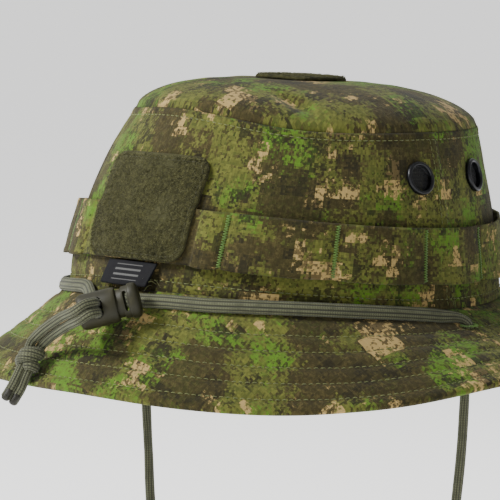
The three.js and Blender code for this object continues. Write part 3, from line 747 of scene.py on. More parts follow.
LOOP = [
    (-106.5, -4, -41), (-105, -4.5, -75), (-100, -5, -110), (-88, -6, -145), (-66, -7, -175),
    (-36, -8, -195), (-4, -8, -202), (28, -8, -196), (56, -7, -178), (75, -6, -148),
    (84, -5, -115), (88, -4.5, -82), (93, -4, -46),
]


def on_brim(degrees, slope):
    return brim_point(degrees, slope, -CORD_LIFT)


def brim_normal(degrees, slope=10):
    return unit(brim_point(degrees, slope, -1) - brim_point(degrees, slope, 0))


def in_hole(side, deep):
    return brim_point(CORD_HOLE_ANGLES[side], CORD_HOLE_IN, deep)


def along_knot(distance):
    return KNOT_CENTRE + KNOT_AXIS * distance


def as_points(places):
    """Listed places as a list of arrays."""
    return [np.array(place, float) for place in places]


def heading(points, i):
    """The way a line runs at one of its points."""
    return unit(points[min(i + 1, len(points) - 1)] - points[max(i - 1, 0)])


def pair_line(middles, spreads, side, pairs):
    """One cord of a pair beside a line of middle points, with the way its flat side looks.
    pairs gives each point's distance from the middle."""
    line = []
    for i, middle in enumerate(middles):
        onward = heading(middles, i)
        apart = unit(spreads[i] - onward * np.dot(spreads[i], onward))
        line.append((middle + apart * side * pairs[i], np.cross(onward, apart)))
    return line


def tail_line(side):
    """A cord's points through the lock, through the knot and on to its tip."""
    lock_up = in_lock(0, 0, 1) - np.array(LOCK_CENTRE)
    straight = [in_lock(out, 0, 0) for out in STRAIGHT_STOPS]
    bent = as_points(TAILS)
    past = [along_knot(place) for place in (-KNOT_FACE - 1, -KNOT_FACE + 1, 0, KNOT_FACE, KNOT_FACE + 1.5)]
    middles = [*straight, *bent, *past, *as_points(TAIL_ENDS)]
    shares = [np.clip((i - len(straight) + 1) / (len(bent) + 1), 0, 1) for i in range(len(middles))]
    spreads = [lerp(lock_up, KNOT_SIDE, share) for share in shares]
    pairs = [CORD_PAIR] * (len(middles) - 6) + [PINCHED_PAIR] * 3 + [END_PAIR] * 3
    return pair_line(middles, spreads, side, pairs)


def cord_facing(degrees):
    """Where the flat side of a cord looks as it lies against the foot of the crown."""
    return unit(outward(degrees) + np.array([0, 0, CORD_FACE_LEAN]))


def run_line(side, run, turn, pair_side):
    """A run's points, each with the direction that its flat side faces."""
    hole_face = outward(CORD_HOLE_ANGLES[side])
    line = [(in_hole(side, BRIM_THICK / 2 - GAP / 2), hole_face), (in_hole(side, -1), hole_face)]
    line += [(on_brim(degrees, slope), cord_facing(degrees)) for degrees, slope in run]
    line += [(point, cord_facing(90)) for point in as_points(turn)]
    return line + tail_line(pair_side)


def loop_line():
    start = [in_hole("right", BRIM_THICK / 2 + GAP / 2), in_hole("right", BRIM_THICK + 3)]
    end = [in_hole("left", BRIM_THICK + 4), in_hole("left", BRIM_THICK / 2 + GAP / 2)]
    points = [*start, *as_points(LOOP), *end]
    faces = []
    for i in range(len(points)):
        faces.append(unit(np.cross(heading(points, i), np.array([0, 1.0, 0]))))
    return list(zip(points, faces))


SAMPLES = 40  # of the curve between two points, before they are spaced evenly


def smooth_line(points, spacing):
    """Points spaced evenly on the centripetal Catmull-Rom curve through points of any size."""
    points = np.array(points, float)
    first = 2 * points[0] - points[1]
    last = 2 * points[-1] - points[-2]
    held = np.vstack([first, points, last])
    samples = []
    for i in range(1, len(held) - 2):
        p0, p1, p2, p3 = held[i - 1 : i + 3]
        gaps = [max(np.linalg.norm((b - a)[:3]) ** 0.5, 1e-4) for a, b in ((p0, p1), (p1, p2), (p2, p3))]
        slope_1 = (p1 - p0) / gaps[0] - (p2 - p0) / (gaps[0] + gaps[1]) + (p2 - p1) / gaps[1]
        slope_2 = (p2 - p1) / gaps[1] - (p3 - p1) / (gaps[1] + gaps[2]) + (p3 - p2) / gaps[2]
        slope_1, slope_2 = slope_1 * gaps[1], slope_2 * gaps[1]
        t = np.linspace(0, 1, SAMPLES, endpoint=False)[:, None]
        square = (-3 * p1 + 3 * p2 - 2 * slope_1 - slope_2) * t**2
        samples.append(p1 + slope_1 * t + square + (2 * p1 - 2 * p2 + slope_1 + slope_2) * t**3)
    samples = np.vstack([*samples, points[-1:]])
    travelled = way_along(samples[:, :3])
    count = max(int(round(travelled[-1] / spacing)), 2)
    stops = np.linspace(0, travelled[-1], count + 1)
    return at_distances(stops, travelled, samples)


FLAT_WIDTH = 6.2
FLAT_THICK = 3.3
GATHERED_WIDTH = 4.3
LOOP_WIDTH = 4.6
LOOP_THICK = 3.2
WRAP_THICK = 3.0
RING_SPACING = 0.6
RING_SIDES = 44
LANES_ROUND = 11
STITCH_ALONG = 1.1
LANE_RELIEF = 0.13
SECTION_POWER = 0.85  # 1 is an ellipse: this has flatter faces and rounder edges
GATHERED_GAIN = 0.2  # how much thicker the cord gets for each millimetre it is narrowed
WANDER_SIZE = 22  # length of cord over which its twist changes
WANDER_SEED = 5


def flat_tube(name, line, width, thick=FLAT_THICK, wander=0.0):
    """A braided cord of oval section along a line of (point, facing). The width is one number, or a
    function of a point. Returns the piece, its centreline in metres and its length in metres."""
    sampled = smooth_line([[*point, *facing] for point, facing in line], RING_SPACING)
    centre, facing = sampled[:, :3], sampled[:, 3:]
    travelled = way_along(centre)
    onward = unit(np.gradient(centre, axis=0))
    facing = unit(facing - onward * (facing * onward).sum(1, keepdims=True))
    across = np.cross(onward, facing)
    if wander:
        twist = wander * ripple(centre, WANDER_SIZE, WANDER_SEED)[:, None]
        facing, across = (
            facing * np.cos(twist) + across * np.sin(twist),
            across * np.cos(twist) - facing * np.sin(twist),
        )
    widths = np.array([width(point) for point in centre]) if callable(width) else np.full(len(centre), width)
    thicks = thick + (FLAT_WIDTH - widths) * GATHERED_GAIN
    turn = np.arange(RING_SIDES) / RING_SIDES
    angle = 2 * np.pi * turn
    lanes = turn[None, :] * LANES_ROUND
    along = (travelled / STITCH_ALONG)[:, None]
    grow = LANE_RELIEF * (np.abs(np.sin(np.pi * lanes)) - 0.6)
    cosine, sine = np.cos(angle), np.sin(angle)
    level = np.sign(cosine) * np.abs(cosine) ** SECTION_POWER
    high = np.sign(sine) * np.abs(sine) ** SECTION_POWER
    offset_across = (widths[:, None] / 2 + grow) * level
    offset_facing = (thicks[:, None] / 2 + grow) * high
    points = (
        centre[:, None, :]
        + across[:, None, :] * offset_across[..., None]
        + facing[:, None, :] * offset_facing[..., None]
    )
    uv = np.stack(np.broadcast_arrays(lanes, along), axis=-1)
    piece = make_object(name, points, tube_faces(len(centre), RING_SIDES), uv)
    close_wrap(piece, LANES_ROUND)
    outward_faces(piece)
    return piece, (centre * MM).tolist(), travelled[-1] * MM


def close_wrap(piece, period):
    """Keeps the cloth coordinates of the faces that close a ring from running backwards."""
    layer = piece.data.uv_layers["cloth"].data
    for face in piece.data.polygons:
        values = [layer[i].uv.x for i in face.loop_indices]
        if len(values) == 4 and max(values) - min(values) > period / 2:
            for i in face.loop_indices:
                if layer[i].uv.x < period / 2:
                    layer[i].uv.x += period


GATHERED_AT = [  # places that pinch the cord: how near it's pinched, and where it's free again
    (in_hole("right", 0), 4, 16),
    (in_hole("left", 0), 4, 16),
    (np.array(LOCK_CENTRE), 9, 17),
    (np.array(TAILS[2], float), 12, 20),
    (np.array(TAILS[4], float), 12, 20),
    (KNOT_CENTRE, 12, 20),
    (np.array(TAIL_ENDS[-1], float), 14, 22),
]


def run_width(point):
    """Full width where the cord is free, and gathered where something pinches it."""
    free = min((np.linalg.norm(point - place) - near) / (far - near) for place, near, far in GATHERED_AT)
    return lerp(GATHERED_WIDTH, FLAT_WIDTH, np.clip(free, 0, 1))


def make_cord(side, run, turn, pair_side):
    """One cord, from its hole in the brim to its melted tip."""
    line = run_line(side, run, turn, pair_side)
    piece, path, length = flat_tube(f"chin_cord_{side}_braid", line, run_width)
    dress(piece, braid, stands_for=[f"chin_cord_{side}", f"chin_cord_end_{side}"])
    return piece, path, length, melted_tip(f"melted_tip_{side}", path)


TIP_PROFILE = [  # along the cord from its end, and radius
    (-4.6, 0.0), (-4.6, 1.9), (-3.2, 2.2), (-1.2, 2.35), (0.0, 2.3), (0.9, 1.8), (1.3, 0.9), (1.4, 0.0),
]
TIP_SIDES = 20
TIP_WIDE = 1.12
TIP_FLAT = 0.9


def melted_tip(name, path):
    """A rounded, slightly swollen lump on a cord's end."""
    end = np.array(path[-1]) / MM
    onward = unit(end - np.array(path[-6]) / MM)
    side = unit(np.cross(onward, KNOT_SIDE))
    face = np.cross(side, onward)
    angle = circle(TIP_SIDES)
    rings = []
    for along, radius in TIP_PROFILE:
        lump = 1 + 0.1 * np.sin(3 * angle + along)
        around_end = (
            side * (np.cos(angle) * radius * TIP_WIDE * lump)[:, None]
            + face * (np.sin(angle) * radius * TIP_FLAT * lump)[:, None]
        )
        rings.append(end + onward * along + around_end)
    piece = make_object(name, np.array(rings), grid_faces(len(rings), TIP_SIDES, closed_columns=True))
    outward_faces(piece)
    soften(piece)
    return dress(piece, sealed)


WRAP_STEPS = 26


def knot_wrap(name, phase, radius, start, rise, turns, stands_for=()):
    """One cord's turn round the knot, leaning over the pair inside it."""
    side = unit(KNOT_SIDE - KNOT_AXIS * np.dot(KNOT_SIDE, KNOT_AXIS))
    other = np.cross(KNOT_AXIS, side)
    line = []
    for i in range(WRAP_STEPS + 1):
        share = i / WRAP_STEPS
        angle = phase + 2 * math.pi * turns * share
        lean = 1.1 * math.sin(angle + 0.6)
        settle = 1 - 0.55 * (abs(2 * share - 1) ** 6)
        reach = radius * settle * (1 + 0.12 * math.cos(2 * angle))
        out = side * math.cos(angle) + other * math.sin(angle)
        point = along_knot(start + rise * share + lean) + out * reach
        line.append((point, out))
    piece, _, _ = flat_tube(name, line, LOOP_WIDTH, WRAP_THICK)
    return dress(piece, braid, stands_for=stands_for)


cords = {
    "right": make_cord("right", RIGHT_RUN, RIGHT_TURN, 1),
    "left": make_cord("left", LEFT_RUN, LEFT_TURN, -1),
}
loop, loop_path, loop_length = flat_tube(
    "chin_cord_loop_braid", loop_line(), LOOP_WIDTH, LOOP_THICK, wander=0.35,
)
dress(loop, braid, stands_for=["chin_cord_loop"])
knot_turns = [
    knot_wrap("knot_turn_upper", 0.4, 3.5, -4.6, 4.0, 1.25, ["chin_cord_knot"]),
    knot_wrap("knot_turn_lower", 3.4, 3.7, -0.8, 4.6, 1.25),
]


def declare_cords():
    for side, knot in (("right", knot_turns), ("left", [])):
        in_hole(side, 0) * MM
    in_hole("right", BRIM_THICK) * MM


declare_cords()

# ---- crown -----------------------------------------------------------------

WALL_COLUMNS = 260  # in each panel
WALL_HEIGHTS = 76
VENT_CUT = 6.6  # radius of the cloth's hole under each vent's rim
SIDE_SEAM_LOW = 6.3  # degrees forward of the widest place, at the foot of the crown
SIDE_SEAM_HIGH = 1.2
SEAM_RADIUS = 97.5
FELL_WIDTH = 7  # of the side seam's raised strip
FELL_STITCHES = (1.6, FELL_WIDTH - 1.4)  # rows, measured from the seam
FOOT_STITCHES = 4.6  # above the foot
TOP_STITCHES = 3.2  # below the top seam
BEYOND_FELL = 60  # added on the panel whose edge lies underneath


def side_seam(side, up):
    """The side seam's angle: it leans back as it rises."""
    lean = lerp(SIDE_SEAM_LOW, SIDE_SEAM_HIGH, up)
    return 180 + lean if side == "right" else -lean


def wall_relief(points, up, from_seam):
    """How far the wall's cloth stands off its plain shape, in millimetres."""
    height = TIP_MEAN_HEIGHT * up
    from_top = TIP_MEAN_HEIGHT * (1 - up)
    low = 1 - np.clip(up / 0.22, 0, 1)
    high = np.clip((up - 0.72) / 0.28, 0, 1)
    free = 1 - np.clip((up - 0.8) / 0.2, 0, 1)
    folds = 0.85 * ripple(points * [1, 1, 1.5], 34, 1) * free
    creases = 0.35 * ripple(points * [1, 1, 0.7], 12, 2) * free
    pucker_at = points * [1, 1, 0.35]
    puckers = 0.3 * ripple(pucker_at, 5, 3) * (low + high)
    top_edge = 0.3 * ridge(from_top - 1.2, 3) - 0.3 * ridge(from_top - 3.4, 1.4)
    foot = 0.5 * ridge(height - 1.5, 5) - 0.45 * ridge(height - FOOT_STITCHES, 1.4)
    fell = 0.6 / (1 + np.exp((from_seam - FELL_WIDTH) * 2.2))
    fell -= sum(0.4 * ridge(from_seam - row, 1.2) for row in FELL_STITCHES)
    return folds + creases + puckers + top_edge + foot + fell


def clear_of_vents(points, faces):
    """Leaves out the faces where a vent goes through the cloth."""
    corners = points.reshape(-1, 3)
    centres = corners[np.array(faces)].mean(axis=1)
    clear = np.full(len(faces), True)
    for degrees in VENTS.values():
        middle = wall_point(degrees, VENT_UP)
        clear &= np.linalg.norm(centres - middle, axis=1) > VENT_CUT
    return [face for face, kept in zip(faces, clear) if kept]


def make_wall(name, first, last, felled, node):
    """A side panel from one side seam to the other. felled says whose edge lies on top."""
    up = np.linspace(-0.03, 1, WALL_HEIGHTS)[:, None]
    share = np.linspace(0, 1, WALL_COLUMNS + 1)[None, :]
    degrees = lerp(first(up), last(up), share)
    plain = wall_point(degrees, up)
    reach = (last(up) - first(up)) * np.pi / 180 * SEAM_RADIUS
    from_seam = np.minimum(share, 1 - share) * reach
    distance = from_seam if felled else from_seam + BEYOND_FELL
    level = np.broadcast_to(up, degrees.shape)
    out = wall_relief(plain, level, distance)
    points = plain + outward(degrees) * out[..., None]
    uv = np.stack([np.radians(degrees) * SEAM_RADIUS, level * TIP_MEAN_HEIGHT], -1)
    faces = clear_of_vents(points, grid_faces(WALL_HEIGHTS, WALL_COLUMNS + 1))
    piece = make_object(name, points, faces, uv)
    thicken(piece, CLOTH - CLOTH_SLACK)
    dress(piece, side_camo, stands_for=[node])


make_wall(
    "crown_rear_cloth", lambda up: side_seam("left", up), lambda up: side_seam("right", up),
    True, "crown_rear_panel",
)
make_wall(
    "crown_front_cloth", lambda up: side_seam("right", up), lambda up: side_seam("left", up) + 360,
    False, "crown_front_panel",
)

TOP_RINGS = 44
TOP_COLUMNS = 256
DENT_DEPTH = 4.2  # where the slack top sinks, behind the right vents
DENT_LINE_Y = 42
DENT_HALF_WIDTH = 8
DENT_MIDDLE_X = -40
DENT_HALF_LENGTH = 22


def top_relief(points, share):
    """How far the top's cloth stands off its plain shape, in millimetres."""
    from_patch = np.hypot(points[..., 0], points[..., 1] - DOME_MIDDLE)
    level = np.clip((from_patch - 18) / 18, 0, 1) * np.clip((1 - share) / 0.2, 0, 1)
    folds = 0.9 * ripple(points, 30, 11)
    creases = 0.35 * ripple(points, 11, 12)
    puckers = 0.35 * ripple(points, 5, 13) * np.clip((share - 0.85) / 0.15, 0, 1)
    dent = DENT_DEPTH * ridge(points[..., 1] - DENT_LINE_Y, DENT_HALF_WIDTH)
    dent *= ridge(points[..., 0] - DENT_MIDDLE_X, DENT_HALF_LENGTH)
    return (folds + creases) * level + 0.4 * puckers - 0.25 * (1 - share) - dent


def make_top():
    share = np.linspace(0, 1, TOP_RINGS)[1:, None] ** 0.8
    degrees = all_round(TOP_COLUMNS)
    plain = dome_point(degrees, share)
    out = top_relief(plain, np.broadcast_to(share, plain.shape[:-1]))
    points = dome_point(degrees, share, out)
    middle = dome_point(np.array([0.0]), np.array([0.0]), np.array([-0.25]))
    rings = TOP_RINGS - 1
    faces = grid_faces(rings, TOP_COLUMNS, closed_columns=True)
    last = rings * TOP_COLUMNS
    faces += [(i, last, (i + 1) % TOP_COLUMNS) for i in range(TOP_COLUMNS)]
    faces = [face[::-1] for face in faces]  # the rings run outwards, so the faces turn over
    everything = np.vstack([points.reshape(-1, 3), middle])
    piece = make_object("crown_top_cloth", everything, faces, everything[:, :2])
    thicken(piece, CLOTH - CLOTH_SLACK)
    dress(piece, top_camo, stands_for=["crown_top"])


make_top()

# ---- brim ------------------------------------------------------------------

BRIM_COLUMNS = 480
BRIM_ROWS_OF_STITCHES = [50.5, 42, 33.5, 25, 16.5]
BRIM_HELD_AT = [*BRIM_ROWS_OF_STITCHES, 57.5, 6]  # its rows of stitches, its edge and its foot
HELD_WIDTH = 3.2


def brim_relief(points, slope):
    """How far the brim's cloth swells between its rows of stitches."""
    held = np.zeros(slope.shape)
    for row in BRIM_HELD_AT:
        held = np.maximum(held, ridge(slope - row, HELD_WIDTH))
    swell = 0.55 * (1 - held) - 0.15
    puckers = 0.28 * ripple(points, 4.2, 21) * (0.35 + 0.65 * held)
    waves = 0.8 * ripple(points, 36, 22) * np.clip(slope / 20, 0, 1)
    return swell + puckers + waves * 0.7


def make_brim():
    radius = BRIM_THICK / 2
    down = np.linspace(0, BRIM_WIDTH - radius, 46)
    turn = np.linspace(-90, 90, 9)[1:-1]
    back = down[::-1]
    slope = np.concatenate([down, BRIM_WIDTH - radius + radius * np.cos(np.radians(turn)), back])
    deep = np.concatenate([
        np.zeros(len(down)), radius + radius * np.sin(np.radians(turn)), np.full(len(back), BRIM_THICK)])
    over = np.concatenate([np.ones(len(down)), np.zeros(len(turn)), -np.ones(len(back))])
    degrees = all_round(BRIM_COLUMNS)
    shape = (len(slope), BRIM_COLUMNS)
    slope = np.broadcast_to(slope[:, None], shape)
    plain = brim_point(np.broadcast_to(degrees, shape), slope, deep[:, None])
    relief = brim_relief(plain, slope)
    wave = 0.55 * ripple(plain, 40, 23) * np.clip(slope / 20, 0, 1)
    rise = np.where(over[:, None] > 0, relief, np.where(over[:, None] < 0, -0.4 * relief, 0)) + wave
    points = brim_point(np.broadcast_to(degrees, shape), slope, deep[:, None] - rise)
    faces = grid_faces(shape[0], BRIM_COLUMNS, closed_rows=True, closed_columns=True)
    angle = np.radians(degrees)
    flat_radius = SEAM_RADIUS + slope
    uv = np.stack([flat_radius * np.cos(angle), flat_radius * np.sin(angle)], -1)
    piece = make_object("brim_cloth", points, faces, uv)
    outward_faces(piece)
    dress(piece, brim_camo, stands_for=["brim_upper", "brim_underside"])


make_brim()

# ---- foliage band ----------------------------------------------------------

BAND_COLUMNS = 720
BAND_ROWS = 18
PANEL_EDGES = (69.5, 109.5)  # degrees between which the rear panel holds the band flat


def tack_places():
    return sorted([*BARTACKS, *PANEL_EDGES])


def band_swell(degrees):
    """How far the band stands off the crown: nothing at a bartack, most between two."""
    degrees = np.mod(degrees, 360)
    places = np.array([tack_places()[-1] - 360, *tack_places(), tack_places()[0] + 360])
    following = np.searchsorted(places, degrees, side="right")
    start, end = places[following - 1], places[np.minimum(following, len(places) - 1)]
    share = (degrees - start) / (end - start)
    held = (degrees > PANEL_EDGES[0]) & (degrees < PANEL_EDGES[1])
    return np.where(held, 0, BAND_SWELL * np.sqrt(np.maximum(np.sin(np.pi * share), 0)))


def make_band():
    up = np.linspace(0, 1, BAND_ROWS)[:, None]
    shape = (BAND_ROWS, BAND_COLUMNS)
    degrees = np.broadcast_to(all_round(BAND_COLUMNS), shape)
    up = np.broadcast_to(up, shape)
    height = lerp(BAND_LOW, BAND_HIGH, up)
    swell = band_swell(degrees) * lerp(1, 0.7, up)
    plain = trim_point(degrees, height)
    folds = ripple(plain * [1, 1, 0.6], 9, 31)
    loose = np.clip(swell / BAND_SWELL, 0, 1)
    hem = 0.35 * (ridge(up - 0.04, 0.12) + ridge(up - 0.96, 0.12))
    rise = GAP + 0.5 + BAND_CLOTH + swell + 0.5 * folds * (0.3 + loose) + hem
    droop = 0.7 * loose * (1 - up)
    points = trim_point(degrees, height - droop, rise)
    uv = np.stack([np.radians(degrees) * SEAM_RADIUS, height], -1)
    faces = grid_faces(*shape, closed_columns=True)
    piece = make_object("foliage_band_cloth", points, faces, uv)
    close_wrap(piece, 2 * math.pi * SEAM_RADIUS)
    thicken(piece, BAND_CLOTH - CLOTH_SLACK)
    dress(piece, band_camo, stands_for=["foliage_band"])


make_band()

# ---- loop panels -----------------------------------------------------------

REAR_CENTRE = 89.5
REAR_HALF_WIDTH = 29
REAR_LOW = 12.3
REAR_HIGH = 58
REAR_PILE = 1.7  # its thickness below the tufts
REAR_CORNER = 8
REAR_TILT = 4  # the panel's foot is sewn this much nearer the right side than its top
REAR_SHIFT = 0.6
PANEL_SEAM = 2.4  # from each panel's edge to its stitches
FIBRE_CORNER = 6  # of the area that fibres stand in
TOP_SIDE = 32
TOP_CORNER = 5
TOP_PILE = 1.6
EDGE_MARGIN = 0.6  # round the area that fibres stand in


def rounded_inset(height, full_height, corner):
    """How far a rounded rectangle's side is set in at a height."""
    from_edge = np.minimum(np.minimum(height, full_height - height), corner)
    return corner - np.sqrt(np.maximum(corner**2 - (corner - from_edge) ** 2, 0))


def panel_grid(half_width, full_height, corner, columns, rows):
    """Across and up of a rounded rectangle's grid, with each point's distance from the edge."""
    side = np.linspace(-1, 1, columns)[None, :]
    share = (1 - np.cos(np.pi * np.linspace(0.03, 0.97, rows))) / 2
    share = (share - share[0]) / (share[-1] - share[0])
    height = (share * full_height)[:, None]
    reach = half_width - rounded_inset(height, full_height, corner)
    across = side * reach
    height = np.broadcast_to(height, across.shape)
    to_side = reach - np.abs(across)
    edge = np.minimum(to_side, np.minimum(height, full_height - height))
    return across, height, edge


def rear_rest(height):
    """How far the crown's skin or the band lies under the panel."""
    over_band = BAND_HIGH + GAP - REAR_LOW
    step = 1 / (1 + np.exp((height - over_band) * 0.9))
    return lerp(1.5 * GAP, BAND_CLOTH + 2.5 * GAP, step) + 0.4


def rear_place(across, height, out):
    """A point on the rear panel: out is its distance from the panel's back."""
    across = across + REAR_SHIFT + REAR_TILT * (0.5 - height / (REAR_HIGH - REAR_LOW))
    radius = trim_point(np.full(across.shape, REAR_CENTRE), REAR_LOW + height)[..., 1]
    degrees = REAR_CENTRE + np.degrees(across / radius)
    return trim_point(degrees, REAR_LOW + height, rear_rest(height) + out)


def top_place(across, height, out):
    """A point on the top panel: out is its distance from the panel's back."""
    level = TIP_MEAN_HEIGHT + DOME_HEIGHT + 2 * GAP
    sag = -0.004 * np.maximum(np.hypot(across, height - TOP_SIDE / 2) - 12, 0) ** 2
    return stack(across, DOME_MIDDLE + height - TOP_SIDE / 2, level + out + sag)


def panel_normals(place, across, height):
    """The direction straight out of a panel at each of its points."""
    base = place(across, height, np.zeros(len(across)))
    return unit(place(across, height, np.full(len(across), 5.0)) - base)


def make_panel(name, place, size, corner, thick, spacing, node, seed):
    """Loop pile on a woven back, pressed down along the line where it is sewn."""
    width, height = size
    columns, rows = int(width / spacing), int(height / spacing)
    across, up, edge = panel_grid(width / 2, height, corner, columns, rows)
    flat = stack(across, up, 0)
    tufts = 0.32 * ripple(flat, 1.6, seed) + 0.22 * ripple(flat, 4.5, seed + 1)
    rounding = -thick * 0.5 * np.clip(1 - edge / 0.9, 0, 1) ** 2
    sewn = -0.55 * ridge(edge - PANEL_SEAM, 1.5)
    upper = place(across, up, thick + tufts * np.clip(edge / 1.5, 0.2, 1) + rounding + sewn)
    lower = place(across, up, np.zeros(across.shape))
    points = np.vstack([upper.reshape(-1, 3), lower.reshape(-1, 3)])
    first = rows * columns
    faces = grid_faces(rows, columns) + [face[::-1] for face in grid_faces(rows, columns, first=first)]
    border = [(0, c) for c in range(columns)] + [(r, columns - 1) for r in range(1, rows)]
    border += [(rows - 1, c) for c in range(columns - 2, -1, -1)] + [(r, 0) for r in range(rows - 2, 0, -1)]
    for (r0, c0), (r1, c1) in zip(border, [*border[1:], border[0]]):
        a, b = r0 * columns + c0, r1 * columns + c1
        faces.append((a, first + a, first + b, b))
    piece = make_object(name, points, faces)
    outward_faces(piece)
    return dress(piece, pile, stands_for=[node])


def make_fibres(name, place, size, thick, count, seed):
    """Loops of yarn standing out of the pile."""
    random = np.random.default_rng(seed)
    width, height = size
    points, faces = [], []
    rings, sides = 5, 3
    for _ in range(count):
        x = random.uniform(-width / 2 + EDGE_MARGIN, width / 2 - EDGE_MARGIN)
        y = random.uniform(EDGE_MARGIN, height - EDGE_MARGIN)
        corner = rounded_inset(np.array(y), height, FIBRE_CORNER)
        if abs(x) > width / 2 - corner - EDGE_MARGIN:
            continue
        heading = random.uniform(0, 2 * math.pi)
        reach = random.uniform(0.7, 1.6)
        lift = random.uniform(0.35, 0.95)
        radius = random.uniform(0.05, 0.09)
        share = np.linspace(0, 1, rings)
        bend = random.uniform(-0.5, 0.5) * np.sin(np.pi * share)
        line_x = x + math.cos(heading) * reach * (share - 0.5) - math.sin(heading) * bend
        line_y = y + math.sin(heading) * reach * (share - 0.5) + math.cos(heading) * bend
        rise = thick - 0.15 + lift * np.sin(np.pi * share)
        line = place(line_x, np.clip(line_y, 0, height), rise)
        onward = unit(np.gradient(line, axis=0))
        side = unit(np.cross(onward, panel_normals(place, np.array([x]), np.array([y]))))
        faces += grid_faces(rings, sides, closed_columns=True, first=len(points) * rings * sides)
        points.append(tube_points(line, side, np.cross(side, onward), radius, sides))
    piece = make_object(name, np.array(points), faces)
    return dress(piece, fibre)


REAR_SIZE = (2 * REAR_HALF_WIDTH, REAR_HIGH - REAR_LOW)
TOP_SIZE = (TOP_SIDE, TOP_SIDE)
make_panel("rear_loop_pile", rear_place, REAR_SIZE, REAR_CORNER, REAR_PILE, 0.7, "rear_loop_panel", 41)
make_fibres("rear_loop_fibres", rear_place, REAR_SIZE, REAR_PILE, 4600, 51)
make_panel("top_loop_pile", top_place, TOP_SIZE, TOP_CORNER, TOP_PILE, 0.8, "top_loop_panel", 45)
make_fibres("top_loop_fibres", top_place, TOP_SIZE, TOP_PILE, 1500, 52)

# ---- sewing ----------------------------------------------------------------


class Stitches:
    """Many short threads in one mesh."""

    SIDES = 5
    RINGS = 5

    def __init__(self):
        self.points = []

    def add(self, line, normal, radius, sunk=0.12):
        """A thread along a line of RINGS points, its ends under the cloth. The normal is one for
        the whole line, or one for each point."""
        share = np.linspace(0, 1, self.RINGS)
        lift = radius * (1 + 0.6 * np.sin(np.pi * share)) - sunk
        lift = lift - 0.5 * (np.abs(2 * share - 1) ** 3) * radius * 3
        centre = line + normal * lift[:, None]
        onward = unit(np.gradient(centre, axis=0))
        side = unit(np.cross(onward, normal))
        taper = radius * (1 - 0.35 * np.abs(2 * share - 1) ** 2)
        self.points.append(tube_points(centre, side, np.cross(side, onward), taper, self.SIDES))

    def row(self, points, normals, pitch, length, radius, seed=0):
        """Stitches along a line of points on the cloth, one every pitch."""
        random = np.random.default_rng(seed)
        travelled = way_along(points)
        for start in np.arange(pitch * 0.3, travelled[-1] - length, pitch):
            slack = random.uniform(-0.05, 0.05)
            stops = start + slack + np.linspace(0, length, self.RINGS)
            line = at_distances(stops, travelled, points)
            self.add(line, unit(at_distances(stops, travelled, normals)), radius)

    def build(self, name, material):
        size = self.SIDES * self.RINGS
        faces = []
        for i in range(len(self.points)):
            faces += tube_faces(self.RINGS, self.SIDES, i * size)
        piece = make_object(name, np.array(self.points), faces)
        return dress(piece, material)


CAST_FROM = 6  # above the cloth, in millimetres
CAST_REACH = 14


def cast(points, normals, names):
    """Drops points onto the finished cloth along their normals."""
    graph = bpy.context.evaluated_depsgraph_get()
    trees = [BVHTree.FromObject(bpy.data.objects[name], graph) for name in names]
    landed = []
    for point, normal in zip(points, normals):
        start = Vector((point + normal * CAST_FROM) * MM)
        best = None
        for tree in trees:
            hit, _, _, distance = tree.ray_cast(start, Vector(-normal), CAST_REACH * MM)
            if hit and (best is None or distance < best[1]):
                best = (np.array(hit) / MM, distance)
        landed.append(best[0] if best else point)
    return np.array(landed)


STITCH_PITCH = 3.0
STITCH_LENGTH = 2.3
THREAD_RADIUS = 0.22
PANEL_STITCHES = (2.6, 2.0, 0.2)  # pitch, length and radius, finer than the rest
BARTACK_STEP = 0.55
BARTACK_HALF = 1.05


def sew_brim():
    sewn = Stitches()
    degrees = np.linspace(0, 360, 721)
    for i, row in enumerate(BRIM_ROWS_OF_STITCHES):
        slope = row + 0.35 * np.sin(np.radians(degrees * 5 + i * 50))
        for deep, flip in ((0, 1), (BRIM_THICK, -1)):
            points = brim_point(degrees, slope, deep)
            normals = brim_normal(degrees, slope) * flip
            points = cast(points, normals, ["brim_cloth"])
            sewn.row(points, normals, STITCH_PITCH, STITCH_LENGTH, THREAD_RADIUS, i)
    sewn.build("brim_stitching", sewing_thread)


def sew_crown():
    sewn = Stitches()
    walls = ["crown_rear_cloth", "crown_front_cloth"]
    degrees = np.linspace(0, 360, 541)
    for up in (1 - TOP_STITCHES / TIP_MEAN_HEIGHT, FOOT_STITCHES / TIP_MEAN_HEIGHT):
        normals = outward(degrees)
        points = cast(wall_point(degrees, up), normals, walls)
        sewn.row(points, normals, STITCH_PITCH, STITCH_LENGTH, THREAD_RADIUS, 7)
    rise = np.linspace(0.01, 0.99, 90)
    for side, back in (("right", -1), ("left", 1)):
        for shift in FELL_STITCHES:
            degrees = side_seam(side, rise) + back * np.degrees(shift / SEAM_RADIUS)
            normals = outward(degrees)
            points = cast(wall_point(degrees, rise), normals, walls)
            sewn.row(points, normals, STITCH_PITCH, STITCH_LENGTH, THREAD_RADIUS, 8)
    sewn.build("crown_stitching", sewing_thread)


def sew_panels():
    sewn = Stitches()
    jobs = (
        (rear_place, REAR_SIZE, REAR_CORNER, "rear_loop_pile"),
        (top_place, TOP_SIZE, TOP_CORNER, "top_loop_pile"),
    )
    for place, (width, height), corner, name in jobs:
        half_width, half_height = width / 2 - PANEL_SEAM, height / 2 - PANEL_SEAM
        outline = rounded_outline(half_width, half_height, max(corner - PANEL_SEAM, 1))
        across, up = outline[:, 0], outline[:, 1] + height / 2
        normals = panel_normals(place, across, up)
        points = cast(place(across, up, np.zeros(len(across))), normals, [name])
        sewn.row(points, normals, *PANEL_STITCHES, 9)
    sewn.build("panel_stitching", panel_thread)


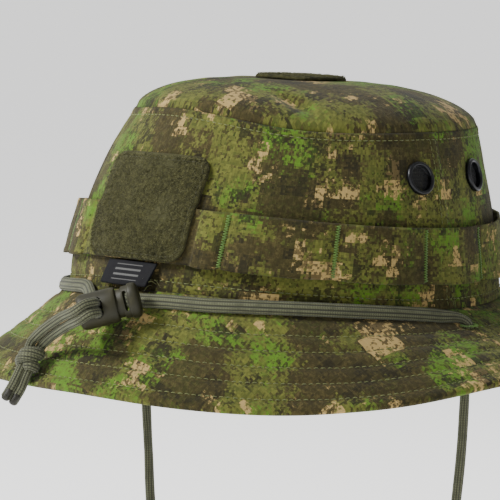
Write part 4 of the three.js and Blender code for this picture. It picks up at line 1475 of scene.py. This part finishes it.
def rounded_outline(half_width, half_height, corner, step=0.6):
    """Points round a rounded rectangle, from one corner back to it."""
    corners = [(1, 1, 0), (-1, 1, 90), (-1, -1, 180), (1, -1, 270)]
    points = []
    for x, y, start in corners:
        for turn in np.linspace(0, 90, 9):
            angle = math.radians(start + turn)
            points.append((
                x * (half_width - corner) + corner * math.cos(angle),
                y * (half_height - corner) + corner * math.sin(angle),
                0,
            ))
    points.append(points[0])
    points = np.array(points, float)
    travelled = way_along(points)
    stops = np.arange(0, travelled[-1], step)
    return at_distances(stops, travelled, points)


def sew_bartacks():
    """Each bartack is a zigzag of close stitches up the whole height of the band."""
    sewn = Stitches()
    height = np.arange(BAND_LOW + 0.6, BAND_HIGH - 0.6, BARTACK_STEP)
    for degrees in BARTACKS:
        sides = np.where(np.arange(len(height)) % 2, BARTACK_HALF, -BARTACK_HALF)
        at = degrees + np.degrees(sides / SEAM_RADIUS)
        normals = outward(at)
        points = cast(trim_point(at, height, 2), normals, ["foliage_band_cloth"])
        for a, b, normal in zip(points[:-1], points[1:], normals[:-1]):
            sewn.add(lerp(a, b, np.linspace(0, 1, sewn.RINGS)[:, None]), normal, THREAD_RADIUS, 0.05)
    sewn.build("band_bartacks", tack_thread)


sew_brim()
sew_crown()
sew_panels()
sew_bartacks()

# ---- label -----------------------------------------------------------------

LABEL_CENTRE = 92
LABEL_HALF_ANGLE = 8.4
LABEL_HALF_WIDTH = 13
LABEL_HIGH = 11.4
LABEL_LOW = 1.2
LABEL_STAND_OFF = 1.4
LABEL_COLUMNS = 41
LABEL_FOLD = [  # how far up, and how far out, from the front's top round the fold to the back's top
    (1, 0.55), (0.75, 0.66), (0.5, 0.8), (0.25, 0.95), (0.08, 1.05), (0, 0.85), (-0.035, 0.5),
    (0, 0.15), (0.08, -0.02), (0.25, 0.05), (0.5, 0.12), (0.75, 0.1), (1, 0.05),
]


def make_label():
    """A woven tape folded in two: it is sewn in above and its fold hangs free below."""
    side = np.linspace(-1, 1, LABEL_COLUMNS)[None, :]
    up, through = (np.array(values)[:, None] for values in zip(*LABEL_FOLD))
    shape = (len(LABEL_FOLD), LABEL_COLUMNS)
    # The free fold is a little nearer the left side than the sewn edge is, and a little narrower.
    degrees = LABEL_CENTRE + side * LABEL_HALF_ANGLE - 1.1 * (1 - up) - 0.4 * (1 - up) * side
    height = lerp(LABEL_LOW, LABEL_HIGH, up) - 0.3 * (1 - side**2) * (1 - up)
    curl = 0.5 * (1 - up) * side**2
    out = 2 * GAP + 0.7 + LABEL_STAND_OFF * (1 - up) + through * 1.5 + curl
    degrees, height, out = (np.broadcast_to(value, shape) for value in (degrees, height, out))
    points = trim_point(degrees, height, out)
    across = np.broadcast_to(side * LABEL_HALF_WIDTH, shape)
    uv = np.stack([across, height - (LABEL_HIGH + LABEL_LOW) / 2], -1)
    piece = make_object("label_tag_fold", points, grid_faces(*shape), uv)
    thicken(piece, 0.35, 0)
    soften(piece)
    dress(piece, label_cloth, stands_for=["label_tag"])


make_label()

# ---- vents -----------------------------------------------------------------

VENT_BORE = 5.6
RIM_SEAT = 0.9  # over the swelling of the cloth
RIM_WALL = 0.5
RIM_DEEP = -2.6
WIRE_PITCH = 0.64
WIRE_RADIUS = 0.21


def vent_frame(degrees):
    """The vent's middle on the crown wall, with its directions along, up and out."""
    step = 0.5
    middle = wall_point(degrees, VENT_UP)
    along = unit(wall_point(degrees + step, VENT_UP) - middle)
    rising = wall_point(degrees, VENT_UP + step / 10) - middle
    out = unit(np.cross(along, rising))
    return middle, along, np.cross(out, along), out


def turned_piece(name, profile, frame_of, sides=56):
    """A ring turned from a closed list of [radius, height] pairs."""
    middle, along, up, out = frame_of
    angle = circle(sides)
    round_it = along * np.cos(angle)[:, None] + up * np.sin(angle)[:, None]
    points = np.array([middle + round_it * radius + out * height for radius, height in profile])
    faces = grid_faces(len(profile), sides, closed_rows=True, closed_columns=True)
    piece = make_object(name, points, faces)
    outward_faces(piece)
    return piece


def rim_profile():
    """The rim's rounded face, and its barrel through the cloth."""
    face = []
    mid, half = (VENT_RADIUS + VENT_BORE) / 2, (VENT_RADIUS - VENT_BORE) / 2
    for turn in np.linspace(0, 180, 15):
        angle = math.radians(turn)
        face.append((mid + half * math.cos(angle), RIM_SEAT + 0.15 + 1.15 * math.sin(angle) ** 0.8))
    barrel = VENT_BORE + RIM_WALL
    under = RIM_SEAT - 0.6
    return [*face, (VENT_BORE, RIM_DEEP), (barrel, RIM_DEEP), (barrel, under), (VENT_RADIUS, under)]


def screen_wires(name, frame_of):
    """Woven wires across the vent's bore."""
    middle, along, up, out = frame_of
    radius = VENT_BORE + 0.1
    points, faces = [], []
    sides, rings = 4, 13
    count = int(radius / WIRE_PITCH)
    for run, cross, sign in ((along, up, 1), (up, along, -1)):
        for i in range(-count, count + 1):
            offset = i * WIRE_PITCH
            half = math.sqrt(max(radius**2 - offset**2, 0.3))
            stops = np.linspace(-half, half, rings)
            weave = 0.12 * sign * np.cos(np.pi * stops / WIRE_PITCH + np.pi * i)
            line = middle + cross * offset + run * stops[:, None] + out * (weave[:, None] - 0.6)
            faces += grid_faces(rings, sides, closed_columns=True, first=len(points) * rings * sides)
            points.append(tube_points(line, cross, out, WIRE_RADIUS, sides, 0.5))
    return make_object(name, np.array(points), faces)


for vent_name, vent_angle in VENTS.items():
    vent = vent_frame(vent_angle)
    rim = turned_piece(f"vent_ring_{vent_name}", rim_profile(), vent)
    dress(rim, vent_metal, stands_for=[f"vent_rim_{vent_name}"])
    screen = screen_wires(f"vent_wires_{vent_name}", vent)
    dress(screen, vent_wire, stands_for=[f"vent_screen_{vent_name}"])

# ---- cord lock -------------------------------------------------------------

LOCK_LENGTH = 17
LOCK_HALF_DEPTH = 6
LOCK_HALF_HEIGHT = 7.8
PLUNGER_TRAVEL = 2.5
PLUNGER_CAP = 7.5
BORE_SHARE = 0.85  # of the barrel's half width and half height
STEM_SHARE = 0.79
CUT_REACH = 12  # of a cutter, to both sides of the lock's middle
EDGE_ROUND = 0.25
BEVEL_ANGLE = 38  # degrees between faces above which an edge is rounded
SHARP_ANGLE = 42


def lock_barrel(name, profile, sides=72):
    """An oval barrel along the lock's Y axis from [radius share, along] pairs."""
    angle = circle(sides)
    points = []
    for radius, along in profile:
        x = LOCK_HALF_DEPTH * radius * np.cos(angle)
        z = LOCK_HALF_HEIGHT * radius * np.sin(angle)
        points.append(stack(x, along, z))
    piece = make_object(name, np.array(points), tube_faces(len(profile), sides))
    outward_faces(piece)
    return piece


def rounded_block(name, half, corner, along):
    """A cutter with rounded corners, through the lock from front to back. half is half its length
    along the lock, and half its height."""
    outline = rounded_outline(half[0], half[1], corner, 0.4)[:, :2]
    points = [stack(x, outline[:, 0] + along, outline[:, 1]) for x in (-CUT_REACH, CUT_REACH)]
    piece = make_object(name, np.array(points), tube_faces(2, len(outline)))
    outward_faces(piece)
    return piece


def shaped(base, steps):
    """Base joined with or cut by other pieces, with small rounded edges, placed in the hat."""
    for operation, tool in steps:
        change = base.modifiers.new("shape", "BOOLEAN")
        change.operation = operation
        change.solver = "EXACT"
        change.object = tool
    round_edges = base.modifiers.new("edges", "BEVEL")
    round_edges.width = EDGE_ROUND * MM
    round_edges.segments = 2
    round_edges.limit_method = "ANGLE"
    round_edges.angle_limit = math.radians(BEVEL_ANGLE)
    graph = bpy.context.evaluated_depsgraph_get()
    mesh = bpy.data.meshes.new_from_object(base.evaluated_get(graph))
    base.modifiers.clear()
    base.data = mesh
    for _, tool in steps:
        bpy.data.objects.remove(tool)
    placed = Matrix.Translation(LOCK_CENTRE * MM) @ LOCK_MATRIX.to_3x3().to_4x4()
    base.data.transform(placed)
    base.data.polygons.foreach_set("use_smooth", [True] * len(base.data.polygons))
    base.data.set_sharp_from_angle(angle=math.radians(SHARP_ANGLE))
    return base


def make_lock():
    low, high = -LOCK_LENGTH / 2, LOCK_LENGTH / 2
    body = lock_barrel("cord_lock_barrel", [
        (0.7, low), (0.84, low + 0.15), (0.93, low + 0.7), (0.98, low + 1.5), (1, low + 2.6),
        (1, high - 1.4), (0.985, high - 0.5), (0.95, high),
    ])
    bore = lock_barrel("lock_bore", [(BORE_SHARE, low + 2.4), (BORE_SHARE, high + 3)])
    slot = rounded_block("lock_slot", (2.7, 4.75), 2.6, 0)
    shaped(body, [("DIFFERENCE", bore), ("DIFFERENCE", slot)])
    dress(body, lock_plastic, "cord_lock", ["cord_lock_body"])

    cap_low = high + PLUNGER_TRAVEL + GAP
    cap = lock_barrel("cord_lock_button", [
        (0.86, cap_low), (0.91, cap_low + 0.3), (0.91, cap_low + 2.9), (0.96, cap_low + 3.1),
        (0.985, cap_low + 3.5), (1, cap_low + 4.2), (1, cap_low + 5.2), (0.985, cap_low + 5.9),
        (0.94, cap_low + 6.5), (0.86, cap_low + 6.95), (0.74, cap_low + 7.3), (0.5, cap_low + PLUNGER_CAP),
    ])
    stem = lock_barrel("lock_stem", [(STEM_SHARE, low + 6.6), (STEM_SHARE, cap_low + 0.5)])
    window = rounded_block("stem_slot", (3.8, 4.65), 0.6, PLUNGER_TRAVEL / 2)
    groove = rounded_block("neck_slot", (0.8, 4.4), 0.7, cap_low + 1.6)
    shaped(cap, [("UNION", stem), ("DIFFERENCE", window), ("DIFFERENCE", groove)])
    dress(cap, lock_plastic, "plunger", ["cord_lock_plunger"])


make_lock()

# ---- small sewing: cord holes and loose thread ends -------------------------


def sew_holes():
    """Thread worked over the edge of each cord hole, on both faces of the brim."""
    sewn = Stitches()
    for degrees in CORD_HOLE_ANGLES.values():
        for deep in (0, BRIM_THICK):
            middle = brim_point(degrees, CORD_HOLE_IN, deep)
            out = brim_normal(degrees) * (1 if deep == 0 else -1)
            along = unit(brim_point(degrees + 1, CORD_HOLE_IN, deep) - middle)
            across = np.cross(out, along)
            for turn in np.linspace(0, 2 * np.pi, 34, endpoint=False):
                ray = along * math.cos(turn) + across * math.sin(turn)
                line = middle + out * 0.6 + ray * np.linspace(2.7, 4.6, sewn.RINGS)[:, None]
                sewn.add(line, out, 0.25, 0.1)
    sewn.build("cord_hole_stitching", tack_thread)


def loose_threads():
    """Cut thread ends at the foot of the crown, beside the label."""
    sewn = Stitches()
    foot = [(99.5, 1.6, 3.6, -2.4), (101, 2.2, 4.4, 1.2), (102.3, 1.2, 3.2, 3.4), (98.4, 2.6, 2.6, 1.8)]
    for degrees, height, reach, rise in foot:
        start = trim_point(degrees, height, 1.4)
        share = np.linspace(0, 1, sewn.RINGS)[:, None]
        direction = outward(degrees) * reach + np.array([1.5, 0, rise])
        bend = np.array([0, 0, 1.0]) * np.sin(np.pi * share) * 0.8
        sewn.add(start + direction * share + bend, outward(degrees), 0.16, 0)
    sewn.build("loose_thread_ends", sewing_thread)


sew_holes()
loose_threads()

# ---- what is kept from the CAD model ----------------------------------------

KEPT = {"brim_stiffener": fill, "sweatband": lining, "cord_lock_spring": spring_steel}
KEPT |= {f"vent_washer_{name}": vent_metal for name in VENTS}
for node_name, node_material in KEPT.items():
    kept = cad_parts[node_name]
    kept.data.materials.clear()
    kept.data.materials.append(node_material)
    kept.data.polygons.foreach_set("use_smooth", [True] * len(kept.data.polygons))

# ---- studio ----------------------------------------------------------------

FLOOR_DROP = 30  # below the chin loop, which hangs free
FLOOR_REACH = 60000
WORLD_STRENGTH = 0.44
LIGHTS = {  # place in metres, power in watts and size in metres
    "key": ((0.95, 1.6, 1.5), 96, 0.55),
    "fill": ((-1.8, 0.3, 0.6), 3, 1.2),
    "back": ((0.9, -0.9, 1.3), 9, 1.0),
}


def make_floor():
    low = cad_box[0].z / MM - FLOOR_DROP
    points = [(x * FLOOR_REACH, y * FLOOR_REACH, low) for x, y in ((-1, -1), (1, -1), (1, 1), (-1, 1))]
    floor = make_object("floor", points, [(0, 1, 2, 3)], smooth=False)
    floor.data.materials.append(floor_material())


def make_light(name, place, power, size):
    data = bpy.data.lights.new(name, "AREA")
    data.energy = power
    data.size = size
    light = bpy.data.objects.new(name, data)
    light.location = place
    light.rotation_euler = (CAMERA_TARGET - Vector(place)).to_track_quat("-Z", "Y").to_euler()
    bpy.context.scene.collection.objects.link(light)


def make_studio():
    world = bpy.data.worlds.new("studio")
    world.use_nodes = True
    background = world.node_tree.nodes["Background"]
    background.inputs["Color"].default_value = (1, 1, 1, 1)
    background.inputs["Strength"].default_value = WORLD_STRENGTH
    bpy.context.scene.world = world
    make_floor()
    for name, (place, power, size) in LIGHTS.items():
        make_light(name, place, power, size)


make_studio()
